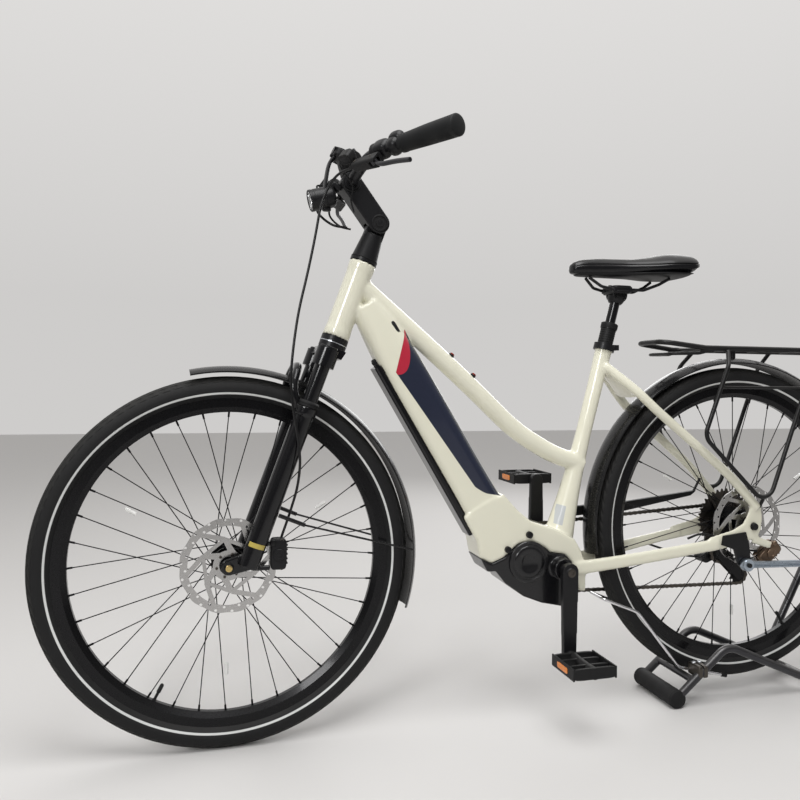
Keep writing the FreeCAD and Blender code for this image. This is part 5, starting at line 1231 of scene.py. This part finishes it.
grip_pieces = together([facing_out(*grip_shape(side)) for side in (-1, 1)])
place_piece("hand_grips", grip_pieces, "bar",
            material("grip_rubber_skin", (0.0075, 0.008, 0.0085), 0.6, 0.0, 0.0, (1400.0, 0.3), 0.25),
            ["grips"])
place_skin("switch_bodies", "bar", black_plastic, ["bar_controls"], 0.0011, 5)
lever_grey = material("grey_forged_lever", (0.045, 0.045, 0.05), 0.33, 0.85, 0.1, (500.0, 0.1), 0.25)
for hand in ("left", "right"):
    name = "brake_blade_" + hand
    place_skin(name, "brake_lever_" + hand, lever_grey, ["brake_lever_" + hand], 0.0009,
               5)
switches, switch_screws = [], []
for side in (-1, 1):
    inner, outward, below, across = hand_frame(side)
    axes = np.stack((outward, below, across))
    switches.append(lump(in_hand(side, 0.047, -0.013, 0.004 * side), axes, (0.0165, 0.0120, 0.0150), 0.7))
    switches.append(lump(in_hand(side, 0.046, 0.0, 0.0), axes, (0.0140, 0.0165, 0.0165), 0.8))
    switches.append(lump(in_hand(side, 0.012, -0.002, 0.0), axes, (0.0190, 0.0160, 0.0165), 0.6))
    switches.append(lump(in_hand(side, -0.066, 0.012, side * 0.0135), axes, (0.0120, 0.0090, 0.0105), 0.5))
    for along in (-0.036, 0.006):
        switch_screws.append(bolt_head(in_hand(side, along, 0.028, -0.0098), -across, 0.0028, 0.0016))
place_piece("switch_domes", together(switches), "bar", black_satin)
place_piece("switch_screws", together(switch_screws), "bar", dark_steel)
buttons = [lump(in_hand(-1, -0.066 + shift, -0.0065, -0.0145), np.stack(hand_frame(-1)[1:]),
                (0.0032, 0.0012, 0.0040), 0.5) for shift in (-0.0085, 0.0, 0.0085)]
place_piece("switch_buttons", together(buttons), "bar",
            material("grey_button_rubber", (0.16, 0.16, 0.165), 0.6))


# ---- display and headlamp ----------------------------------------------------------
# A small display with a dark glass face stands over the stem. The headlamp is a black
# turned can with a bright bowl behind a clear lens, on a flat arm from the bar clamp.

place_skin("display_case", "bar", black_plastic, ["display"], 0.0012, 5)
display_along = np.array((0.0408, 0, -0.0180)) / math.hypot(0.0408, 0.0180)
display_normal = np.array((-display_along[2], 0, display_along[0]))
display_middle = np.array((0.2195 - origin_behind, 0, 1.151))
display_axes = np.stack((display_along, (0, 1, 0), display_normal))
glass_face = lump(display_middle + display_normal * 0.0066, display_axes, (0.0205, 0.0265, 0.0009), 0.3)
dark_glass = material("dark_display_glass", (0.012, 0.014, 0.018), 0.06, 0.0, 1.0, (40.0, 0.0), 0.02)
place_piece("display_glass", glass_face, "bar", dark_glass)
side_keys = [lump(display_middle + (0, -0.0312, 0), display_axes, (0.0065, 0.0012, 0.0028), 0.5),
             lump(display_middle - display_along * 0.026 - display_normal * 0.005, display_axes,
                  (0.0030, 0.0055, 0.0030), 0.6)]
place_piece("display_keys", together(side_keys), "bar", black_rubber)

strap_path = smooth_path((at(203, 0, 1158), at(190, 0, 1140), at(184, 0, 1112), at(181, 0, 1086)), 24)
strap = swept(strap_path, round_section(1.0, 20) * (0.0150, 0.0040), (0, 1, 0))
hood_path = smooth_path((at(196, 0, 1166), at(214, 0, 1162), at(236, 0, 1150), at(250, 0, 1142)), 24)
hood = swept(hood_path, round_section(1.0, 24) * (0.0290, 0.0050), (0, 1, 0))
place_piece("display_bracket", together((strap, hood)), "bar", black_satin)

LAMP_TILT = math.radians(15)
lamp_face = np.array((0.1506 - origin_behind, 0, 1.062))
lamp_back = np.array((math.cos(LAMP_TILT), 0, math.sin(LAMP_TILT)))
can = [(0.0060, 0.0186), (0.0004, 0.0192), (0.0, 0.0208), (0.0010, 0.0219), (0.0060, 0.0220),
       (0.0064, 0.0214), (0.0100, 0.0214), (0.0104, 0.0220), (0.0300, 0.0220), (0.0304, 0.0212),
       (0.0320, 0.0212), (0.0324, 0.0220), (0.0455, 0.0216), (0.0505, 0.0185), (0.0530, 0.0130),
       (0.0535, 0.0001)]
lamp_parts = [spun(can, lamp_face, lamp_back, 64)]
arm_start = lamp_face + lamp_back * 0.040 + (0, 0, 0.016)
arm_path = smooth_path((arm_start, arm_start + (0.010, 0, 0.010), bar_centre + (-0.020, 0, -0.012)), 12)
for side in (-1, 1):
    lamp_parts.append(swept(arm_path + (0, side * 0.0062, 0),
                            round_section(1.0, 16) * (0.0024, 0.0062), (0, 1, 0)))
lamp_parts.append(lump(lamp_face + lamp_back * 0.036 + (0, 0, -0.0235), np.eye(3), (0.0085, 0.0075, 0.0040),
                       0.5))
place_piece("headlamp_can", together(lamp_parts), "bar", black_satin, ["headlamp"])
bowl_depth = np.linspace(0, 1, 14)
bowl = [(0.0035 + 0.0200 * depth, 0.0187 * math.sqrt(1 - depth) + 0.0002) for depth in bowl_depth]
facets = 1 - 0.02 * (np.arange(64) % 2)
chromed = material("vacuum_chromed_bowl", (0.88, 0.88, 0.88), 0.08, 1.0, 0.0, (200.0, 0.02), 0.05)
place_piece("headlamp_bowl", spun(bowl, lamp_face, lamp_back, 64, facets), "bar", chromed)
lens = [(0.0030, 0.0188), (0.0016, 0.0186), (0.0008, 0.0140), (0.0003, 0.0080), (0.0002, 0.0001)]
clear = bpy.data.materials.new("clear_lens")
clear.use_nodes = True
clear_tree = Tree(clear.node_tree)
clear_shader = clear.node_tree.nodes["Principled BSDF"]
clear_shader.inputs["Base Color"].default_value = (0.95, 0.97, 0.98, 1)
clear_shader.inputs["Transmission Weight"].default_value = 0.9
clear_shader.inputs["IOR"].default_value = 1.3
clear_place = clear_tree.add("ShaderNodeTexCoord").outputs["Object"]
flutes = clear_tree.add("ShaderNodeTexWave", Vector=clear_place, Scale=90.0)
flutes.bands_direction = "Z"
clear_bump = clear_tree.add("ShaderNodeBump", Height=flutes.outputs["Fac"], Strength=0.2, Distance=0.0005)
clear_tree.join(clear_bump.outputs["Normal"], clear_shader.inputs["Normal"])
clear_tree.join(clear_tree.sum(0.04, clear_tree.times(flutes.outputs["Fac"], 0.05)),
                clear_shader.inputs["Roughness"])
place_piece("headlamp_lens", spun(lens, lamp_face, lamp_back, 64), "bar", clear)


# ---- hoses and cables --------------------------------------------------------------
# Smooth black hoses of 5 mm and cables of 4 mm: the left brake hose falls in front of
# the head tube to the front caliper, the others turn from the bar into the stem.

dress(material("hose_skin", (0.006, 0.006, 0.0065), 0.34, 0.0, 0.1, (900.0, 0.1), 0.15),
      "front_brake_hose", "cable_housings")


def cable(name, points, radius, body):
    """A round cable on a smooth curve through a few given points, in row metres."""
    path = smooth_path(points, 12 * len(points))
    mesh = build_mesh(name, *facing_out(*swept(path, round_section(radius, 14), (0.3, 0.9, 0.2))))
    return place_piece(name, mesh, body, black_rubber)


cable("switch_cable_left", (in_hand(-1, -0.050, 0.006, -0.006), in_hand(-1, -0.085, 0.018, -0.010),
                            at(226, -52, 1088), at(228, -34, 1062), at(236, -26, 1040)), 0.0016, "bar")
cable("rear_hose_right", (in_hand(1, -0.043, 0.027, 0), in_hand(1, -0.080, 0.030, 0), at(180, 70, 1090),
                          at(172, 34, 1050), at(196, 6, 1020), at(228, 2, 1014)), 0.0025, "bar")
cable("gear_cable_right", (in_hand(1, -0.075, 0.012, 0.014), in_hand(1, -0.110, 0.024, 0.012),
                           at(196, 44, 1072), at(196, 24, 1040), at(214, 10, 1018), at(236, 6, 1012)),
      0.0020, "bar")
place_piece("lever_hose_joints",
            together([spun([(0, 0.0001), (0, 0.0042), (0.008, 0.0042), (0.010, 0.0032), (0.016, 0.0030),
                            (0.016, 0.0001)], in_hand(side, -0.042, 0.027, 0), -hand_frame(side)[1], 20)
                      for side in (-1, 1)]), "bar", black_rubber)


# ---- seat post and saddle ----------------------------------------------------------
# A black sprung post in a clamped seat tube. The saddle is a foam pad under smooth
# black synthetic leather, with polished side panels below a stitched seam.

dress(black_satin, "seatpost_outer")
dress(black_gloss, "seatpost_plunger")
place_skin("saddle_underframe", "saddle", black_satin, ["saddle_rails"], 0.0012, 4)
SADDLE_STATIONS = np.array((
    (0.7235, 0.0, 0.957, 0.951), (0.7260, 0.14, 0.9655, 0.946), (0.7340, 0.215, 0.9715, 0.9435),
    (0.752, 0.25, 0.9765, 0.9430), (0.790, 0.29, 0.9805, 0.9430), (0.830, 0.37, 0.9820, 0.9440),
    (0.865, 0.50, 0.9830, 0.9455), (0.900, 0.74, 0.9880, 0.9465), (0.935, 0.95, 0.9955, 0.9460),
    (0.962, 1.0, 0.9980, 0.9465), (0.985, 0.985, 0.9975, 0.9480), (0.998, 0.90, 0.9960, 0.9520),
    (1.0045, 0.74, 0.9925, 0.9590), (1.0058, 0.0, 0.985, 0.972)))


def saddle_shape():
    """Sections across the saddle: width, crown and skirt follow smooth curves from nose to tail;
    each section is a flattened oval, hollowed along the middle and nipped at the seam."""
    count, around_count = 150, 96
    place = np.linspace(0, len(SADDLE_STATIONS) - 1, count)
    x, share, crown, skirt = smooth_path(SADDLE_STATIONS, count).T
    half = np.clip(share, 0.0005, 1.02) * 0.0795
    turn = np.linspace(0, 2 * np.pi, around_count, endpoint=False)
    t, _ = np.meshgrid(turn, place)
    half, crown, skirt, x = (column[:, None] for column in (half, crown, skirt, x))
    middle = skirt + 0.42 * (crown - skirt)
    sine, cosine = np.sin(t), np.cos(t)
    wide = half * np.sign(cosine) * np.abs(cosine) ** 0.72
    rise = np.where(sine > 0, crown - middle, middle - skirt) * np.sign(sine) * np.abs(sine) ** 0.86
    drop = 0.010 * (wide / 0.0795) ** 2 * (sine > 0)
    channel = 0.0035 * np.exp(-(wide / 0.009) ** 2) * np.clip((x - 0.80) / 0.05, 0, 1) * (sine > 0)
    seam = 0.0012 * np.exp(-((np.abs(cosine) - 0.965) / 0.014) ** 2) * (sine > 0)
    z = middle + rise - drop - channel
    points = np.stack((x + 0 * wide, wide * (1 - seam / 0.03), z), axis=-1)
    points[..., 0] -= origin_behind
    return points, place, turn


saddle_points, saddle_place, saddle_turn = saddle_shape()
saddle_mesh = build_mesh("saddle_pad", *facing_out(*sheet_points(saddle_points, close_columns=True)))
saddle_base = saddle_points.copy()
base_middle = saddle_base[..., 0].mean()
saddle_base[..., 0] = base_middle + (saddle_base[..., 0] - base_middle) * 0.93
saddle_base[..., 1] *= 0.90
saddle_base[..., 2] = 0.9405 + (np.minimum(saddle_base[..., 2], 0.962) - 0.945) * 0.55
place_piece("saddle_base_moulding", facing_out(*sheet_points(saddle_base, close_columns=True)),
            "saddle", black_plastic, ["saddle_shell"])
saddle_head = np.array(joints["saddle_tilt"]["pos_m"])
head_parts = [lump(saddle_head + (0.0, 0, 0.0165), np.eye(3), (0.0225, 0.0300, 0.0042), 0.35),
              lump(saddle_head + (0.0, 0, 0.0065), np.eye(3), (0.0215, 0.0290, 0.0045), 0.35)]
for front in (-1, 1):
    head_parts.append(bolt_head(saddle_head + (front * 0.0165, 0, 0.0195), (0, 0, 1), 0.0042, 0.0030))
place_piece("saddle_rail_clamp", together(head_parts), "saddle", black_satin)
cone = [(-0.0185, 0.0112), (-0.0180, 0.0140), (-0.0150, 0.0160), (-0.0100, 0.0185), (-0.0030, 0.0190),
        (-0.0010, 0.0100)]
place_piece("post_head_casting", spun(cone, saddle_head, seat_axis, 40), "seat_plunger", black_satin)
ribs = [(0.4915, 0.0155)]
for step in range(7):
    ribs += [(0.4930 + step * 0.005, 0.0168), (0.4958 + step * 0.005, 0.0168),
             (0.4962 + step * 0.005, 0.0160), (0.4978 + step * 0.005, 0.0160)]
ribs += [(0.5285, 0.0178), (0.5300, 0.0186), (0.5395, 0.0186), (0.5410, 0.0170), (0.5415, 0.0114)]
place_piece("post_ribbed_collar", spun(ribs, crank_centre, seat_axis, 64), "seat_post", black_plastic)
saddle_uv = saddle_mesh.uv_layers.new(name="saddle_uv")
loop_vertices = np.zeros(len(saddle_mesh.loops), np.int32)
saddle_mesh.loops.foreach_get("vertex_index", loop_vertices)
u = (loop_vertices // len(saddle_turn)) / len(saddle_place)
v = (loop_vertices % len(saddle_turn)) / len(saddle_turn)
saddle_uv.data.foreach_set("uv", np.stack((u, v), axis=1).astype(np.float32).ravel())
saddle_skin, saddle_tree, saddle_worn = worked_material("saddle_leather", (0.0065, 0.0065, 0.0075), 0.40,
                                                        0.0, 0.15, (700.0, 0.45), 0.3, 0.1)
saddle_place_node = saddle_tree.add("ShaderNodeTexCoord").outputs["Object"]
pores = saddle_tree.add("ShaderNodeTexVoronoi", Vector=saddle_place_node, Scale=620.0)
saddle_height = saddle_tree.add("ShaderNodeSeparateXYZ", Vector=saddle_place_node).outputs["Z"]
panel_mask = saddle_tree.step(saddle_height, 0.9690, 0.9680)
smoother_panel = saddle_tree.sum(1.0, saddle_tree.times(panel_mask, -0.6))
saddle_rough = saddle_tree.times(saddle_worn.outputs["Roughness"], smoother_panel)
saddle_shader = saddle_skin.node_tree.nodes["Principled BSDF"]
saddle_tree.join(saddle_rough, saddle_shader.inputs["Roughness"])
shallower_panel = saddle_tree.sum(1.0, saddle_tree.times(panel_mask, -0.9))
pore_height = saddle_tree.times(pores.outputs["Distance"], shallower_panel)
pore_bump = saddle_tree.add("ShaderNodeBump", Strength=0.35, Distance=0.0003, Height=pore_height)
saddle_tree.join(saddle_worn.outputs["Normal"], pore_bump.inputs["Normal"])
saddle_tree.join(pore_bump.outputs["Normal"], saddle_shader.inputs["Normal"])
saddle_piece = place_piece("saddle_pad", saddle_mesh, "saddle", saddle_skin,
                           ["saddle_cover"])


# ---- rack and kickstand ------------------------------------------------------------
# A welded tubular rack in satin black. The folding side stand is a bluish silver leg of
# two ribs with a black rubber foot, on a black bracket.

rack_black = material("black_rack_powder_coat", (0.0065, 0.0065, 0.007), 0.40, 0.0, 0.1, (1100.0, 0.25),
                      0.2, 0.15)
place_skin("rack_welded", "frame", rack_black, ["rear_rack"], 0.0018, 4)
gusset_rows = []
for x, y, z in ((808, 13, 734), (822, 24, 722), (840, 35, 707), (858, 43, 690), (868, 46, 681)):
    across_row = np.linspace(-1, 1, 15)
    middle_line = at(x, 0, z) + np.stack((0 * across_row, across_row * y / 1000, 0 * across_row), axis=1)
    dip = 0.004 * (1 - across_row ** 2)
    gusset_rows.append(np.concatenate((middle_line - np.stack((0.6 * dip, 0 * dip, 0.8 * dip), axis=1),
                                       middle_line[::-1] - (0.0022, 0, 0.0028)
                                       - np.stack((0.6 * dip, 0 * dip, 0.8 * dip), axis=1)[::-1])))
gusset_rows = [np.broadcast_to(gusset_rows[0].mean(axis=0), gusset_rows[0].shape)] + gusset_rows
gusset_rows.append(np.broadcast_to(gusset_rows[-1].mean(axis=0), gusset_rows[-1].shape))
gusset = facing_out(*sheet_points(np.stack(gusset_rows), close_columns=True))
place_piece("stay_gusset", gusset, "frame", cream)
dropout_bolts = [bolt_head(at(x, side * 74.6, z), (0, side, 0), 0.0052, 0.0030, 0.5)
                 for x, z in ((1072, 361), (1110, 366)) for side in (-1, 1)]
place_piece("dropout_bolts", together(dropout_bolts), "frame", dark_steel)
kick_silver = material("blue_silver_alloy", (0.42, 0.48, 0.55), 0.3, 1.0, 0.1, (500.0, 0.1), 0.3)
kick_pivot = np.array(joints["kickstand_swing"]["pos_m"])
kick_low, kick_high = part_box("kickstand")
kick_y = (kick_low.y + kick_high.y) / 2
kick_end = np.array((kick_high.x - 0.012, kick_y, (kick_low.z + kick_high.z) / 2 - 0.006))
kick_start = np.array((kick_pivot[0], kick_y, kick_pivot[2]))
kick_line = (kick_end - kick_start) / np.linalg.norm(kick_end - kick_start)
kick_up = np.array((-kick_line[2], 0, kick_line[0]))
ribs = []
for lift in (-0.0042, 0.0042):
    run_points = kick_start + kick_line * np.linspace(0.010, 0.272, 10)[:, None] + kick_up * lift
    ribs.append(swept(run_points, round_section(1.0, 16) * (0.0062, 0.0034), (0, 1, 0)))
web = kick_start + kick_line * np.linspace(0.010, 0.270, 10)[:, None]
ribs.append(swept(web, round_section(1.0, 12) * (0.0030, 0.0048), (0, 1, 0)))
ribs.append(spun([(-0.0075, 0.0052), (-0.0075, 0.0130), (-0.0060, 0.0140), (0.0060, 0.0140),
                  (0.0075, 0.0130), (0.0075, 0.0052)], kick_start, (0, 1, 0), 48))
place_piece("kickstand_leg", together(ribs), "kickstand", kick_silver,
            ["kickstand"])
foot_shape = [(0, 0.0001), (0, 0.0082), (0.004, 0.0096), (0.018, 0.0096), (0.023, 0.0075), (0.0245, 0.0001)]
place_piece("kickstand_foot", spun(foot_shape, kick_end - kick_line * 0.014, kick_line, 32),
            "kickstand", black_rubber)


# ---- display stand -----------------------------------------------------------------
# Bent steel tube, painted dark metallic grey, with a black rubber sleeve on the front
# foot. A bright plated wire, clamped by two bolted blocks, keeps the wheel upright.

stand_grey = material("dark_metallic_stand_paint", (0.040, 0.040, 0.045), 0.32, 0.7, 0.3, (1500.0, 0.2),
                      0.3, 0.3)
place_skin("stand_welded", "stand", stand_grey, ["stand_frame"], 0.0020, 5)
sleeve_low, sleeve_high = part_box("stand_foot_sleeve")
sleeve_middle = np.array((sleeve_low + sleeve_high) / 2)
reach = (sleeve_high.y - sleeve_low.y) / 2
radius = (sleeve_high.z - sleeve_low.z) / 2
wrinkle = np.linspace(-reach + 0.010, reach - 0.010, 24)
sleeve = ([(-reach, 0.0001), (-reach, radius * 0.72), (-reach + 0.002, radius * 0.93),
           (-reach + 0.0075, radius), (-reach + 0.0080, radius * 0.965)]
          + [(place, radius * (0.968 + 0.006 * math.sin(place * 900))) for place in wrinkle]
          + [(reach - 0.0080, radius * 0.965), (reach - 0.0075, radius), (reach - 0.002, radius * 0.93),
             (reach, radius * 0.72), (reach, 0.0001)])
place_piece("stand_sleeve_rubber", spun(sleeve, sleeve_middle, (0, 1, 0), 64), "stand", black_rubber,
            ["stand_foot_sleeve"])
wire_half = ((1101, 40, 48), (978, 38, 77), (876, 35, 205), (794, 31, 238))
wire_route = [at(x, -y, z) for x, y, z in wire_half] + [at(x, y, z) for x, y, z in reversed(wire_half)]


def bent_wire(corners, radius, bend):
    """A round wire whose corners are rounded over a stretch of bend metres each way."""
    corners = np.asarray(corners)
    path = [corners[:1]]
    share = np.linspace(0, 1, 9)[:, None]
    for before, corner, after in zip(corners, corners[1:], corners[2:]):
        start = corner + (before - corner) * bend / np.linalg.norm(before - corner)
        end = corner + (after - corner) * bend / np.linalg.norm(after - corner)
        path.append((1 - share) ** 2 * start + 2 * share * (1 - share) * corner + share ** 2 * end)
    path.append(corners[-1:])
    return swept(np.concatenate(path), round_section(radius, 16), (0.1, 0.3, 0.95))


place_piece("stand_wire", bent_wire(wire_route, 0.0032, 0.012), "stand",
            material("bright_plated_wire", (0.72, 0.72, 0.74), 0.16, 1.0, 0.0, (400.0, 0.06), 0.2),
            ["stand_wire_guard"])
wire_caps, wire_blocks, wire_bolts = [], [], []
for side in (-1, 1):
    wire_line = at(978, side * 38, 77) - at(1101, side * 40, 48)
    wire_line /= np.linalg.norm(wire_line)
    wire_caps.append(spun([(0, 0.0001), (0, 0.0040), (0.001, 0.0046), (0.013, 0.0046), (0.014, 0.0036)],
                          at(1101, side * 40, 48), wire_line, 20))
    for x in (1010, 1023):
        wire_blocks.append(lump(at(x, side * 54, 74), np.eye(3), (0.0056, 0.0215, 0.0135), 0.3))
        wire_bolts.append(bolt_head(at(x, side * 49, 87), (0, 0, 1), 0.0048, 0.0034, 0.3))
        wire_bolts.append(bolt_head(at(x, side * 49, 61), (0, 0, -1), 0.0040, 0.0050, 0.3))
place_piece("stand_wire_caps", together(wire_caps), "stand", black_rubber)
place_piece("stand_wire_blocks", together(wire_blocks), "stand", dark_steel)
place_piece("stand_wire_bolts", together(wire_bolts), "stand", bare_silver)
